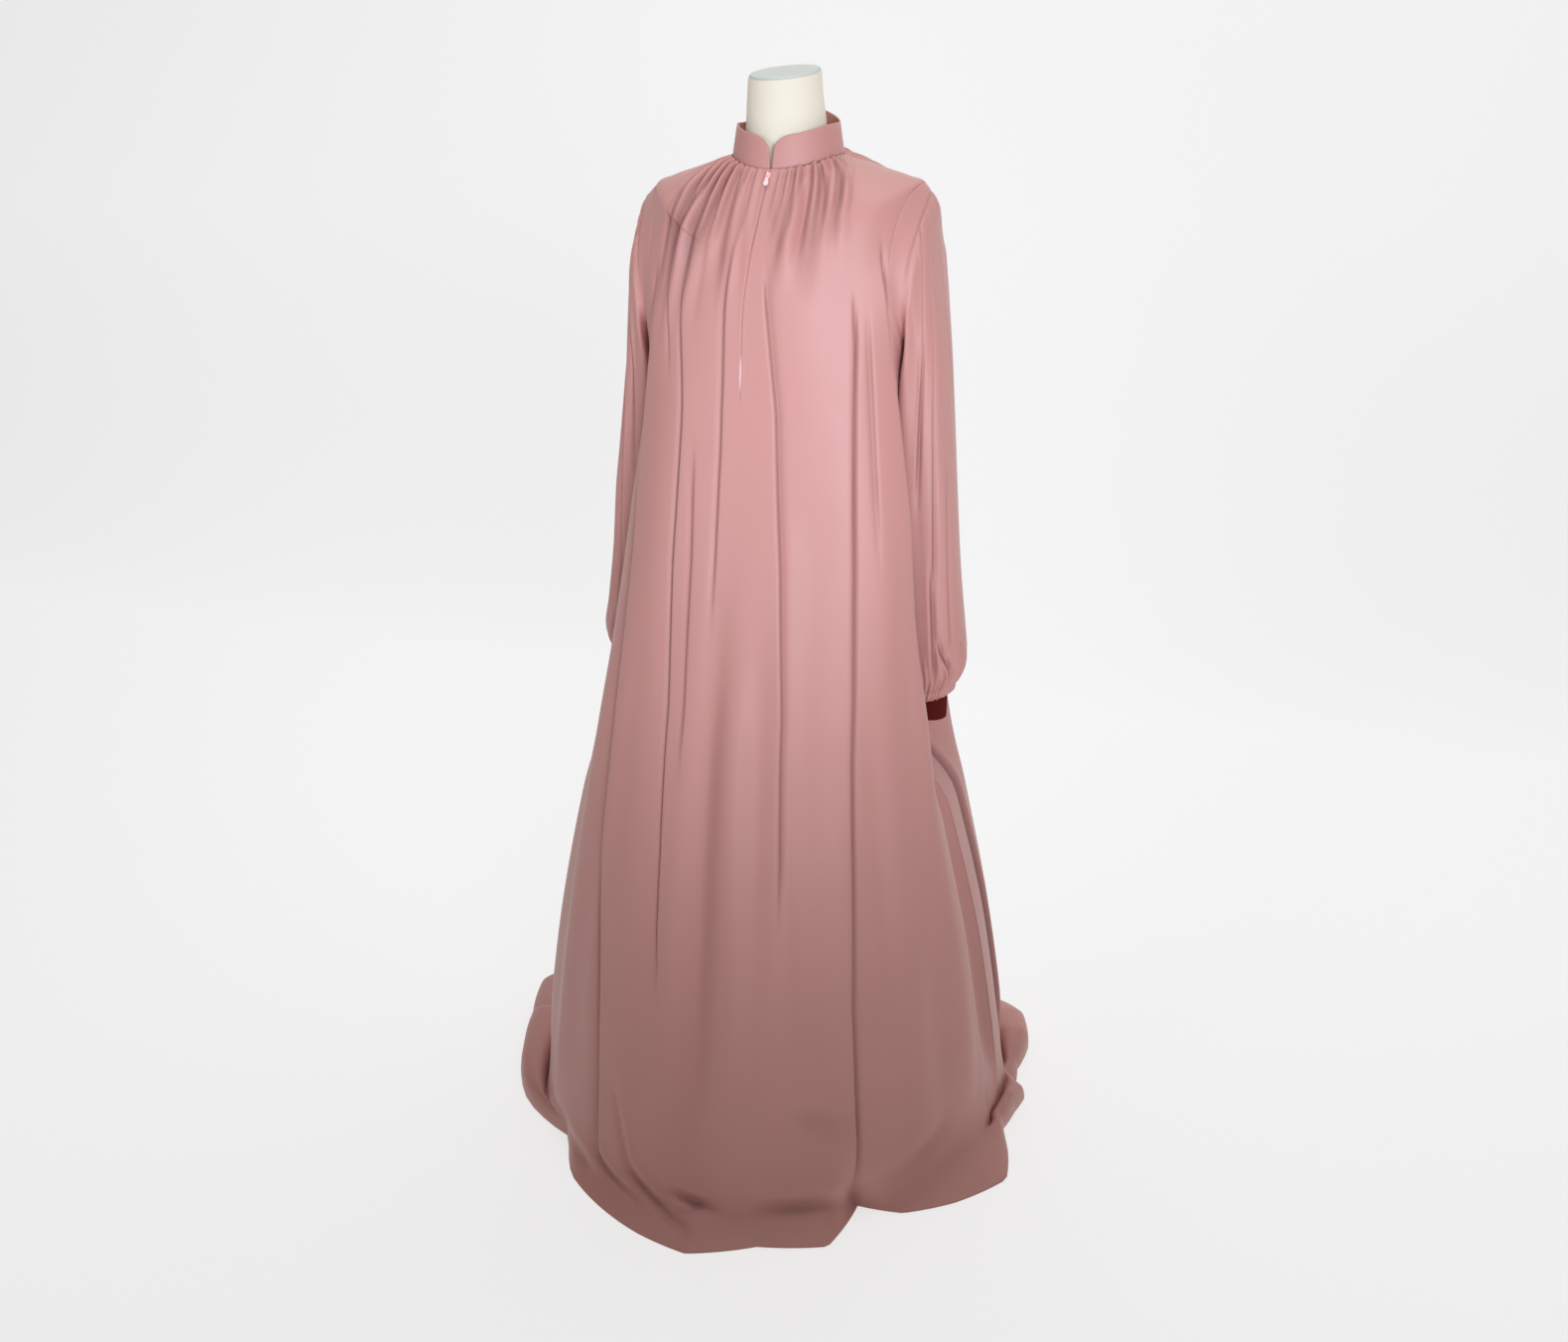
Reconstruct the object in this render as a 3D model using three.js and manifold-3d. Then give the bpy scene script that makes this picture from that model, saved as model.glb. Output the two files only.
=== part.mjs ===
// A floor-length abaya with a gathered neck, a stand collar, a short front zip and full sleeves,
// hanging on a limbless dress form. Millimetres, +Z up, the wearer faces -Y and the wearer's
// left is +X. The origin is the centre of the underside of the form's base, on the floor.
import * as THREE from 'three';
import { mergeVertices } from 'three/addons/utils/BufferGeometryUtils.js';
import Module from 'manifold-3d';

const wasm = await Module();
wasm.setup();

// ---------------------------------------------------------------- driving dimensions
const WALL = 2;                    // thickness of the cloth walls
const SEAM_GAP = 0.3;              // between pieces that are sewn to each other
const PANEL_COLUMNS = { front: 40, back: 28 };
const COLLAR = {
  height: 40, lean: 6, corner: 26, cornerStart: 15, notch: 1.2, notchTop: 3,
  columns: 45, rows: 3, crowd: 0.06,
};
const ZIP = {
  end: 4.95, tapeWidth: 22, tapeWall: 0.8, tapeGap: 0.9, tapeStart: 0.03, tapeEnd: 5.15, middleTurn: -3,
};
const SLIT = { width: 1.4, gape: 2.2, gapeFrom: 4.3, start: -0.12, reach: 8, rings: 24 };
const SLIDER = { place: 0.3, width: 5, length: 8, thick: 2.2, lift: 0.4 };
const ARCH = { width: 1.6, length: 5.9, height: 3.2, bar: 0.9, sink: 0.1 };
const PULL = {
  width: 6.5, length: 17, thick: 1, axisLift: 1.1, eyeBar: 0.6, eyeEnd: 4.2, eyeWidth: 2.4,
  neckWidth: 4, neckCurve: 4, bellyCurve: 7,
};
const CUFF = { radius: 24, wall: 1.6, bottom: 645, top: 684, x: 222.6, y: 0, sides: 20, rows: 3 };
const FORM = {
  seat: 1.1, ease: 5, neckTop: 1520, neckTopRadius: 48.5, neckTopY: 4, slopeX: 0.037, slopeY: 0.1975,
  capThick: 3, capRadius: 47.5, capTopRadius: 46.5, sides: 40,
};
const STAND = {
  poleRadius: 12.5, poleTop: 837.2, baseRadius: 150, baseThick: 8, rimBevel: 3, rimStep: 2,
  hubRadius: 32, hubTopRadius: 24, hubBottom: 10, hubTop: 34, sides: 40,
};

// a table's rows as objects, from its column names
function table(columns, rows) {
  return rows.map((row) => Object.fromEntries(columns.map((name, k) => [name, row[k]])));
}

// ---------------------------------------------------------------- body sections
// A row for each level of the body, from the neck seam to where the cloth meets the floor.
// width: half-width; front, back: y at the middle; cx, cy: the centre; power: squareness;
// zSide, zFront, zBack: heights; hollow: depth of the dent in which each sleeve hangs.
const SECTIONS = table(
  ['width', 'front', 'back', 'cx', 'cy', 'power', 'zSide', 'zFront', 'zBack', 'hollow'], [
    [75, -63, 88, 2, 14, 2.0, 1417, 1400, 1438, 0],
    [122, -88, 108, 2, 18, 2.1, 1403, 1368, 1412, 0],
    [158, -112, 124, 2, 20, 2.2, 1390, 1330, 1368, 0],
    [177, -136, 136, 2, 20, 2.15, 1368, 1286, 1310, 0],
    [176, -150, 142, 0, 18, 2.35, 1262, 1222, 1238, 0],
    [188, -158, 148, 0, 10, 2.5, 1125, 1115, 1120, 24],
    [210, -180, 168, -3, 4, 2.4, 970, 970, 970, 46],
    [240, -224, 208, -8, 0, 2.3, 740, 740, 740, 64],
    [258, -250, 234, -12, 0, 2.2, 620, 620, 620, 68],
    [280, -276, 262, -13, 0, 2.2, 500, 500, 500, 8],
    [323, -325, 306, -11, 0, 2.1, 290, 290, 290, 0],
    [347, -366, 345, -10, 0, 2.0, 140, 140, 140, 0],
    [360, -394, 362, -10, 0, 2.0, 45, 45, 45, 0],
    [366, -404, 372, -10, 0, 2.0, 6, 6, 6, 0],
  ]);
const FLOOR_BREAK = SECTIONS.length - 1;    // place of the section where the cloth reaches the floor
const HEM = FLOOR_BREAK + 2;                // place of the hem's edge, out on the floor
const HEM_MARGIN = 12;                      // how far inside the hem's edge the cloth reaches the floor

// Where each hollow beside the body begins, is full, starts to fade and ends, in degrees
// from the front middle.
const HOLLOW = { begin: 66, full: 80, fade: 106, end: 122 };

// The armhole in the side of the body: its middle and half-height as places on the
// sections, and its half-width in degrees.
const ARMHOLE = { middle: 3.87, half: 1.02, spread: 25 };

// The hem on the floor: direction from the front middle (positive to the wearer's left),
// distance from the axis, and the height of the roll of cloth behind the edge.
const HEM_LINE = table(
  ['phi', 'radius', 'lift'], [
    [-180, 425, 6], [-150, 440, 8], [-125, 462, 18], [-101, 492, 46], [-87, 444, 20],
    [-75, 425, 6], [-60, 413, 5], [-43, 370, 3], [-31, 413, 10], [-9, 449, 5],
    [1, 462, 5], [13, 430, 8], [26, 432, 5], [35, 358, 3], [43, 395, 6],
    [54, 414, 6], [67, 430, 7], [82, 372, 14], [95, 392, 24], [107, 398, 30],
    [124, 423, 22], [150, 420, 8], [180, 425, 6],
  ]);

// The largest folds. Each is a trough that runs down the cloth; phi1250 to phi50 are its
// directions at those heights, spread is half its breadth in degrees, and depth its dip.
const FOLDS = table(
  ['phi1250', 'phi900', 'phi500', 'phi50', 'top', 'bottom', 'spread', 'depth'], [
    [-59, -50, -38, -26, 1260, 30, 6.5, 14],
    [-33, -26, -16, -12, 1270, 300, 5.5, 7],
    [7, 17, 19, 18, 1290, 400, 5.5, 8],
    [46, 42, 38, 35, 1250, 20, 5.5, 9],
    [61, 68, 76, 79, 1300, 60, 6.5, 9],
    [-172, -168, -166, -164, 1300, 30, 8, 12],
    [-146, -147, -148, -150, 1260, 200, 7.5, 10],
    [168, 165, 160, 158, 1290, 250, 7.5, 10],
    [142, 140, 137, 134, 1250, 30, 8, 12],
  ]);
const FOLD_HEIGHTS = [1250, 900, 500, 50];
const FOLD_FADE = 90;               // length over which a fold starts or ends

// Gathers below the collar: direction where each starts, and how far down it runs.
const GATHERS = table(
  ['phi', 'end', 'depth'], [
    [-64, 2.4, 3], [-46, 2.8, 3], [-28, 2.6, 3], [20, 2.2, 3], [38, 2.4, 3], [60, 2.2, 2.5],
    [130, 2.4, 2.5], [155, 2.8, 3], [-155, 2.8, 3], [-130, 2.4, 2.5],
  ]);
const GATHER_HALF_ANGLE = 8;
const GATHER_START = 0.5;           // places over which a gather deepens below the collar
const GATHER_FADE = 1.2;            // places over which it dies out

// ---------------------------------------------------------------- sleeves
// The left sleeve's rings, from the shoulder to the cuff: the outer and inner ends of each
// ring, its middle y, its half-depth, and how much further out the right sleeve's is.
const SLEEVE = table(
  ['outX', 'outZ', 'inX', 'inZ', 'y', 'halfY', 'rightOut'], [
    [203, 1352, 179, 1156, 20, 74, 0],
    [211, 1300, 179, 1148, 20, 72, 1],
    [219, 1235, 178, 1138, 20, 68, 2],
    [227, 1165, 176, 1120, 20, 64, 4],
    [235, 1080, 173, 1072, 18, 60, 8],
    [245, 965, 174, 962, 14, 56, 12],
    [254, 860, 180, 856, 12, 54, 13],
    [265, 776, 186, 756, 8, 54, 12],
    [270, 733, 192, 703, 4, 48, 9],
    [250, 682, 196, 668, 0, 29, 8],
  ]);

// ---------------------------------------------------------------- small helpers
const radians = THREE.MathUtils.degToRad;
const clamp = THREE.MathUtils.clamp;
const smooth = THREE.MathUtils.smoothstep;

// the slope of each column at each row, with no overshoot between rows
function columnSlopes(rows, name) {
  return rows.map((row, k) => {
    const before = k > 0 ? row[name] - rows[k - 1][name] : rows[1][name] - row[name];
    const after = k < rows.length - 1 ? rows[k + 1][name] - row[name] : before;
    return before * after > 0 ? 2 * before * after / (before + after) : 0;
  });
}

// a function that reads all the columns of a table at any place between its rows
function smoothTable(rows) {
  const names = Object.keys(rows[0]);
  const slopes = Object.fromEntries(names.map((name) => [name, columnSlopes(rows, name)]));
  return (place) => {
    const k = clamp(Math.floor(place), 0, rows.length - 2);
    const t = place - k;
    const [square, cube] = [t ** 2, t ** 3];
    const blend = [2 * cube - 3 * square + 1, cube - 2 * square + t, 3 * square - 2 * cube, cube - square];
    return Object.fromEntries(names.map((name) => [name,
      blend[0] * rows[k][name] + blend[1] * slopes[name][k]
      + blend[2] * rows[k + 1][name] + blend[3] * slopes[name][k + 1]]));
  };
}

const sectionAt = smoothTable(SECTIONS);

// piecewise linear value of ys over falling heights
function alongHeights(heights, ys, z) {
  for (let k = 1; k < heights.length; k += 1) {
    if (z >= heights[k] || k === heights.length - 1) {
      const t = clamp((heights[k - 1] - z) / (heights[k - 1] - heights[k]), 0, 1);
      return ys[k - 1] + (ys[k] - ys[k - 1]) * t;
    }
  }
  return ys[0];
}

function hemAt(phi) {
  const turn = THREE.MathUtils.euclideanModulo(phi + 180, 360) - 180;
  const k = Math.max(1, HEM_LINE.findIndex((row) => row.phi >= turn));
  const [a, b] = [HEM_LINE[k - 1], HEM_LINE[k]];
  const t = smooth(turn, a.phi, b.phi);
  return { radius: a.radius + (b.radius - a.radius) * t, lift: a.lift + (b.lift - a.lift) * t };
}

const wrapDegrees = (angle) => THREE.MathUtils.euclideanModulo(angle + 180, 360) - 180;

// ---------------------------------------------------------------- the body's surface
function foldDip(phi, z) {
  let dip = 0;
  for (const fold of FOLDS) {
    const angles = [fold.phi1250, fold.phi900, fold.phi500, fold.phi50];
    const away = wrapDegrees(phi - alongHeights(FOLD_HEIGHTS, angles, z)) / fold.spread;
    if (Math.abs(away) < 1) {
      const length = smooth(z, fold.bottom, fold.bottom + FOLD_FADE)
        * (1 - smooth(z, fold.top - FOLD_FADE, fold.top));
      dip += fold.depth * length * Math.cos(away * Math.PI / 2) ** 2;
    }
  }
  return dip;
}

function gatherDip(phi, place) {
  let dip = 0;
  for (const gather of GATHERS) {
    const away = Math.abs(wrapDegrees(phi - gather.phi)) / GATHER_HALF_ANGLE;
    if (away < 1 && place < gather.end) {
      const fade = smooth(place, gather.end - GATHER_FADE, gather.end);
      const length = smooth(place, 0, GATHER_START) * (1 - fade);
      dip += gather.depth * length * Math.cos(away * Math.PI / 2) ** 2;
    }
  }
  return dip;
}

// The cloth's outer surface at a direction and a place down the sections. A plain surface
// has no folds and no hollows: the dress form follows that one.
function bodySurface(phi, place, plain = false) {
  const s = sectionAt(Math.min(place, FLOOR_BREAK));
  const [sin, cos] = [Math.sin(radians(phi)), Math.cos(radians(phi))];
  const depth = cos > 0 ? s.cy - s.front : s.back - s.cy;
  let radius = ((Math.abs(sin) / s.width) ** s.power + (Math.abs(cos) / depth) ** s.power) ** (-1 / s.power);
  const z = s.zSide + ((cos > 0 ? s.zFront : s.zBack) - s.zSide) * cos * cos;
  if (!plain) {
    const aside = Math.abs(wrapDegrees(phi));
    const inHollow = smooth(aside, HOLLOW.begin, HOLLOW.full) * (1 - smooth(aside, HOLLOW.fade, HOLLOW.end));
    radius -= s.hollow * inHollow + foldDip(phi, z) + gatherDip(phi, place);
    if (place > FLOOR_BREAK - 2) {
      const nearFloor = smooth(place, FLOOR_BREAK - 2, FLOOR_BREAK);
      const reach = hemAt(phi).radius - HEM_MARGIN;
      radius -= Math.max(0, radius - reach) * nearFloor;
    }
  }
  const point = new THREE.Vector3(s.cx + radius * sin, s.cy - radius * cos, z);
  if (place > FLOOR_BREAK) {
    const hem = hemAt(phi);
    const out = (place - FLOOR_BREAK) / (HEM - FLOOR_BREAK);
    const edge = new THREE.Vector3(hem.radius * sin, -hem.radius * cos, WALL);
    point.lerp(edge, out);
    point.z += hem.lift * Math.sin(Math.PI * out);
  }
  return point;
}

// a surface's point moved inwards by a depth, square to the surface
function inset(surface, a, b, depth, stepA, stepB) {
  const along = surface(a + stepA, b).sub(surface(a - stepA, b));
  const down = surface(a, b + stepB).sub(surface(a, b - stepB));
  const normal = down.cross(along).normalize();
  return surface(a, b).addScaledVector(normal, -depth);
}

function bodyPoint(phi, place, depth, plain = false) {
  const surface = (a, b) => bodySurface(a, b, plain);
  const point = inset(surface, phi, Math.min(place, HEM - 0.01), depth, 0.5, 0.01);
  const slip = bodySurface(phi, place, plain).sub(bodySurface(phi, Math.min(place, HEM - 0.01), plain));
  point.add(slip);
  point.z = Math.max(point.z, 0);
  return point;
}

// ---------------------------------------------------------------- meshes
function geometryFrom(points, triangles) {
  const geometry = new THREE.BufferGeometry();
  const numbers = points.flatMap((point) => point.toArray());
  geometry.setAttribute('position', new THREE.Float32BufferAttribute(numbers, 3));
  geometry.setIndex(triangles.flat());
  return facingOut(geometry);
}

// turns a closed mesh the right way round, by the sign of its volume
function facingOut(geometry) {
  const position = geometry.getAttribute('position');
  const index = geometry.getIndex().array;
  const corner = (k) => new THREE.Vector3().fromBufferAttribute(position, index[k]);
  let volume = 0;
  for (let k = 0; k < index.length; k += 3) {
    volume += corner(k).dot(corner(k + 1).cross(corner(k + 2)));
  }
  if (volume < 0) {
    for (let k = 0; k < index.length; k += 3) {
      [index[k + 1], index[k + 2]] = [index[k + 2], index[k + 1]];
    }
  }
  return geometry;
}

// A cloth wall: at(i, j, depth) gives the point of column i and row j on the outer face
// (depth 0) or the inner face (depth 1). A ring's last column joins its first.
function wall(columns, rows, at, ring = false) {
  const points = [];
  const triangles = [];
  for (const depth of [0, 1]) {
    for (let j = 0; j < rows; j += 1) {
      for (let i = 0; i < columns; i += 1) {
        points.push(at(i, j, depth));
      }
    }
  }
  const id = (i, j, depth) => depth * columns * rows + j * columns + (i % columns);
  const quad = (a, b, c, d) => triangles.push([a, b, c], [a, c, d]);
  const spans = ring ? columns : columns - 1;
  for (let i = 0; i < spans; i += 1) {
    for (let j = 0; j < rows - 1; j += 1) {
      quad(id(i, j, 0), id(i + 1, j, 0), id(i + 1, j + 1, 0), id(i, j + 1, 0));
      quad(id(i, j, 1), id(i, j + 1, 1), id(i + 1, j + 1, 1), id(i + 1, j, 1));
    }
    quad(id(i, 0, 0), id(i, 0, 1), id(i + 1, 0, 1), id(i + 1, 0, 0));
    quad(id(i, rows - 1, 0), id(i + 1, rows - 1, 0), id(i + 1, rows - 1, 1), id(i, rows - 1, 1));
  }
  if (!ring) {
    for (let j = 0; j < rows - 1; j += 1) {
      quad(id(0, j, 0), id(0, j + 1, 0), id(0, j + 1, 1), id(0, j, 1));
      const end = columns - 1;
      quad(id(end, j, 0), id(end, j, 1), id(end, j + 1, 1), id(end, j + 1, 0));
    }
  }
  return geometryFrom(points, triangles);
}

// a solid through a row of rings with equal counts, closed at both ends
function loft(rings) {
  const count = rings[0].length;
  const triangles = [];
  const points = rings.flat();
  for (let j = 0; j < rings.length - 1; j += 1) {
    for (let i = 0; i < count; i += 1) {
      const next = (i + 1) % count;
      const [a, b] = [j * count + i, j * count + next];
      triangles.push([a, b, b + count], [a, b + count, a + count]);
    }
  }
  const last = (rings.length - 1) * count;
  for (let i = 1; i < count - 1; i += 1) {
    triangles.push([0, i + 1, i], [last, last + i, last + i + 1]);
  }
  return geometryFrom(points, triangles);
}

function toSolid(geometry) {
  const merged = mergeVertices(geometry.clone().deleteAttribute('normal').deleteAttribute('uv'));
  return new wasm.Manifold(new wasm.Mesh({
    numProp: 3,
    vertProperties: new Float32Array(merged.getAttribute('position').array),
    triVerts: new Uint32Array(merged.getIndex().array),
  }));
}

function fromSolid(solid) {
  const mesh = solid.getMesh();
  const geometry = new THREE.BufferGeometry();
  geometry.setAttribute('position', new THREE.BufferAttribute(mesh.vertProperties, 3));
  geometry.setIndex(new THREE.BufferAttribute(mesh.triVerts, 1));
  return geometry;
}

function evenly(count, from, to) {
  return Array.from({ length: count }, (_, k) => from + (to - from) * k / (count - 1));
}

// ---------------------------------------------------------------- body panels
const ARMHOLE_STEPS = 8;
const EDGE_PULL = 4;                // how soon an armhole's bend dies out across a panel
const armholePlace = (k) => ARMHOLE.middle - ARMHOLE.half * Math.cos(Math.PI * k / ARMHOLE_STEPS);
const PANEL_PLACES = [
  0, 0.6, 1.3, 2.1,
  ...evenly(ARMHOLE_STEPS + 1, 0, ARMHOLE_STEPS).map(armholePlace),
  5.5, 6.2, 7, 7.6, 8.2, 8.8, 9.4, 10.2, 11, 12, 13, 14, HEM,
];

// how far from the shoulder and side seams a panel's edge lies, in degrees
function edgeTurn(place) {
  const across = (place - ARMHOLE.middle) / ARMHOLE.half;
  const armhole = Math.abs(across) < 1 ? ARMHOLE.spread * Math.sqrt(1 - across * across) : 0;
  const gap = THREE.MathUtils.radToDeg(SEAM_GAP / 2 / sectionAt(Math.min(place, FLOOR_BREAK)).width);
  return armhole + gap;
}

// A panel spans half the body. Its outer columns bend round the armholes.
function bodyPanel(columns, middle) {
  return wall(columns, PANEL_PLACES.length, (i, j, depth) => {
    const place = PANEL_PLACES[j];
    const across = 2 * i / (columns - 1) - 1;
    const phi = middle + 90 * across - edgeTurn(place) * Math.sign(across) * Math.abs(across) ** EDGE_PULL;
    return bodyPoint(phi, place, depth * WALL);
  });
}

// the front middle drifts a little to the wearer's right on its way down
const middlePhi = (place) => ZIP.middleTurn * Math.min(place, 5) / 5;

// the slit that the zip closes, as a cutter through the front's wall
function slitCutter() {
  const rings = evenly(SLIT.rings, SLIT.start, ZIP.end).map((place) => {
    const phi = middlePhi(place);
    const open = Math.sin(Math.PI * clamp((place - SLIT.gapeFrom) / (ZIP.end - SLIT.gapeFrom), 0, 1));
    const half = (SLIT.width + SLIT.gape * open) / 2;
    return [[-half, -SLIT.reach], [half, -SLIT.reach], [half, SLIT.reach], [-half, SLIT.reach]]
      .map(([x, lift]) => bodyPoint(phi, place, -lift).add(new THREE.Vector3(x, 0, 0)));
  });
  return loft(rings);
}

function frontPanel() {
  return fromSolid(toSolid(bodyPanel(PANEL_COLUMNS.front, 0)).subtract(toSolid(slitCutter())));
}

function zipTape() {
  const between = PANEL_PLACES.filter((place) => place > 0 && place < ZIP.end);
  const places = [ZIP.tapeStart, ...between, ZIP.tapeEnd];
  const steps = evenly(4, -1, 1);
  const under = WALL + ZIP.tapeGap;
  return wall(steps.length, places.length, (i, j, depth) => {
    const place = places[j];
    const radius = -bodySurface(0, place).y;
    const turn = THREE.MathUtils.radToDeg(steps[i] * ZIP.tapeWidth / 2 / radius);
    return bodyPoint(middlePhi(place) + turn, place, under + depth * ZIP.tapeWall);
  });
}

// ---------------------------------------------------------------- collar
// The collar stands on the neck seam from one side of the front middle round to the other.
function collarHeight(phi) {
  const along = Math.abs(wrapDegrees(phi)) * Math.PI / 180 * SECTIONS[0].width - COLLAR.notch;
  const t = clamp(along / COLLAR.corner, 0, 1);
  return COLLAR.cornerStart + (COLLAR.height - COLLAR.cornerStart) * Math.sqrt(1 - (1 - t) ** 2);
}

function collarSurface(phi, share) {
  const base = bodySurface(phi, 0, true);
  const height = collarHeight(phi) * share;
  const centre = SECTIONS[0];
  const inward = new THREE.Vector3(centre.cx - base.x, centre.cy - base.y, 0).normalize();
  const up = new THREE.Vector3(0, 0, SEAM_GAP + height);
  return base.add(up).addScaledVector(inward, COLLAR.lean * height / COLLAR.height);
}

function collar() {
  return wall(COLLAR.columns, COLLAR.rows, (i, j, depth) => {
    const share = 1 - j / (COLLAR.rows - 1);
    const notch = COLLAR.notch + (COLLAR.notchTop - COLLAR.notch) * share;
    const start = THREE.MathUtils.radToDeg(notch / -SECTIONS[0].front);
    const t = i / (COLLAR.columns - 1);
    const eased = t - COLLAR.crowd * Math.sin(2 * Math.PI * t);
    const phi = start + (360 - 2 * start) * eased;
    const surface = (a, b) => collarSurface(a, -b);
    return inset(surface, phi, -share, depth * WALL, 0.5, 0.01);
  });
}

// ---------------------------------------------------------------- sleeves and cuffs
const SLEEVE_SIDES = 2 * ARMHOLE_STEPS;
const sleeveRow = smoothTable(SLEEVE);

// The sleeve's outer surface: turn is the direction round the ring from its outer end,
// place 0 is the armhole seam, and places 1 and up are the rows of the table.
function sleeveSurface(side, turn, place) {
  const [sin, cos] = [Math.sin(radians(turn)), Math.cos(radians(turn))];
  const row = sleeveRow(Math.max(place - 1, 0));
  const out = side < 0 ? row.rightOut : 0;
  const ring = new THREE.Vector3(
    side * ((row.outX + row.inX) / 2 + out + (row.outX - row.inX) / 2 * cos),
    row.y - row.halfY * sin,
    (row.outZ + row.inZ) / 2 + (row.outZ - row.inZ) / 2 * cos,
  );
  if (place >= 1) {
    return ring;
  }
  const gap = SEAM_GAP / (ARMHOLE.spread * 3);
  const phi = side * (90 - ARMHOLE.spread * (1 - gap) * sin);
  const seam = bodySurface(phi, ARMHOLE.middle - ARMHOLE.half * (1 - gap) * cos);
  seam.x += side * SEAM_GAP;
  return seam.lerp(ring, clamp(place, 0, 1));
}

// The turn runs the other way round from the body's directions, so depths count as negative.
function sleeve(side) {
  const rows = SLEEVE.length + 1;
  return wall(SLEEVE_SIDES, rows, (i, j, depth) => {
    const turn = 360 * i / SLEEVE_SIDES;
    const surface = (a, b) => sleeveSurface(side, a * side, b);
    const place = clamp(j, 0.02, rows - 1.02);
    const point = inset(surface, turn * side, place, -depth * WALL, 2, 0.02);
    const slip = sleeveSurface(side, turn, j).sub(sleeveSurface(side, turn, place));
    return point.add(slip);
  }, true);
}

function cuff(side) {
  const out = side < 0 ? SLEEVE[SLEEVE.length - 1].rightOut : 0;
  return wall(CUFF.sides, CUFF.rows, (i, j, depth) => {
    const turn = Math.PI * 2 * i / CUFF.sides;
    const radius = CUFF.radius - depth * CUFF.wall;
    return new THREE.Vector3(
      side * (CUFF.x + out) + radius * Math.cos(turn),
      CUFF.y + radius * Math.sin(turn),
      CUFF.top + (CUFF.bottom - CUFF.top) * j / (CUFF.rows - 1),
    );
  }, true);
}

// ---------------------------------------------------------------- dress form
// The torso's rings: a place on the body's sections, and the share of the cloth's section
// that the form fills there. It carries the cloth along the shoulders, where it lies nearest.
const TORSO = table(
  ['place', 'share'], [
    [6.55, 0.7], [6.3, 0.74], [5.9, 0.72], [5.5, 0.68], [5.0, 0.75], [4.59, 0.84], [4.26, 0.9],
    [3.87, 0.94], [3.48, 0.965], [3.15, 0.98], [2.93, 0.985], [2.85, 0.985], [2.1, 1], [1.3, 1],
    [0.6, 0.98], [0.3, 0.92], [0.15, 0.84],
  ]);
const NECK = table(
  ['z', 'radius', 'y'], [
    [1440, 57, 13], [1452, 54, 11], [1470, 52.5, 9], [1490, 50.5, 6],
  ]);

const neckTopZ = (x, y) => FORM.neckTop + FORM.slopeX * x + FORM.slopeY * y;

function roundRing(radius, y, z) {
  return evenly(FORM.sides + 1, 0, 2 * Math.PI).slice(0, -1).map((turn) => {
    const point = new THREE.Vector3(radius * Math.sin(turn), y - radius * Math.cos(turn), 0);
    point.z = typeof z === 'function' ? z(point.x, point.y) : z;
    return point;
  });
}

function formTorso() {
  const torso = TORSO.map(({ place, share }) => evenly(FORM.sides + 1, 0, 360).slice(0, -1).map((phi) => {
    const clear = FORM.seat + FORM.ease * Math.cos(radians(phi)) ** 2;
    const point = bodyPoint(phi, place, WALL + clear, true);
    const s = sectionAt(place);
    point.x = s.cx + (point.x - s.cx) * share;
    point.y = s.cy + (point.y - s.cy) * share;
    return point;
  }));
  const neck = NECK.map(({ z, radius, y }) => roundRing(radius, y, z));
  const topZ = (x, y) => neckTopZ(x, y) - FORM.capThick - SEAM_GAP;
  const top = roundRing(FORM.neckTopRadius, FORM.neckTopY, topZ);
  return loft([...torso, ...neck, top]);
}

function formNeckCap() {
  const under = roundRing(FORM.capRadius, FORM.neckTopY, (x, y) => neckTopZ(x, y) - FORM.capThick);
  const upper = roundRing(FORM.capTopRadius, FORM.neckTopY, neckTopZ);
  return loft([under, upper]);
}

function turned(profile) {
  const points = profile.map(([radius, z]) => new THREE.Vector2(radius, z));
  const geometry = new THREE.LatheGeometry(points, STAND.sides);
  geometry.rotateX(Math.PI / 2);
  return facingOut(mergeVertices(geometry.deleteAttribute('normal').deleteAttribute('uv')));
}

function formBase() {
  return turned([
    [0, 0], [STAND.baseRadius, 0], [STAND.baseRadius, STAND.baseThick - STAND.rimStep],
    [STAND.baseRadius - STAND.rimBevel, STAND.baseThick], [STAND.hubRadius, STAND.hubBottom],
    [STAND.hubTopRadius, STAND.hubTop], [0, STAND.hubTop],
  ]);
}

function formPole() {
  const bottom = STAND.hubTop + SEAM_GAP;
  const top = STAND.poleTop;
  return turned([[0, bottom], [STAND.poleRadius, bottom], [STAND.poleRadius, top], [0, top]]);
}

// ---------------------------------------------------------------- zip slider and pull tab
// A frame on the front middle: x across, y down the slope of the cloth, z out of it.
function sliderFrame() {
  const origin = bodyPoint(middlePhi(SLIDER.place), SLIDER.place, 0);
  const below = bodyPoint(middlePhi(SLIDER.place), SLIDER.place + 0.05, 0);
  const across = new THREE.Vector3(-1, 0, 0);
  const down = below.sub(origin).setX(0).normalize();
  const out = new THREE.Vector3().crossVectors(across, down);
  return new THREE.Matrix4().makeBasis(across, down, out).setPosition(origin);
}

function block(width, length, thick, x, s, n) {
  const geometry = new THREE.BoxGeometry(width, length, thick);
  return toSolid(geometry.translate(x, s, n));
}

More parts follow.
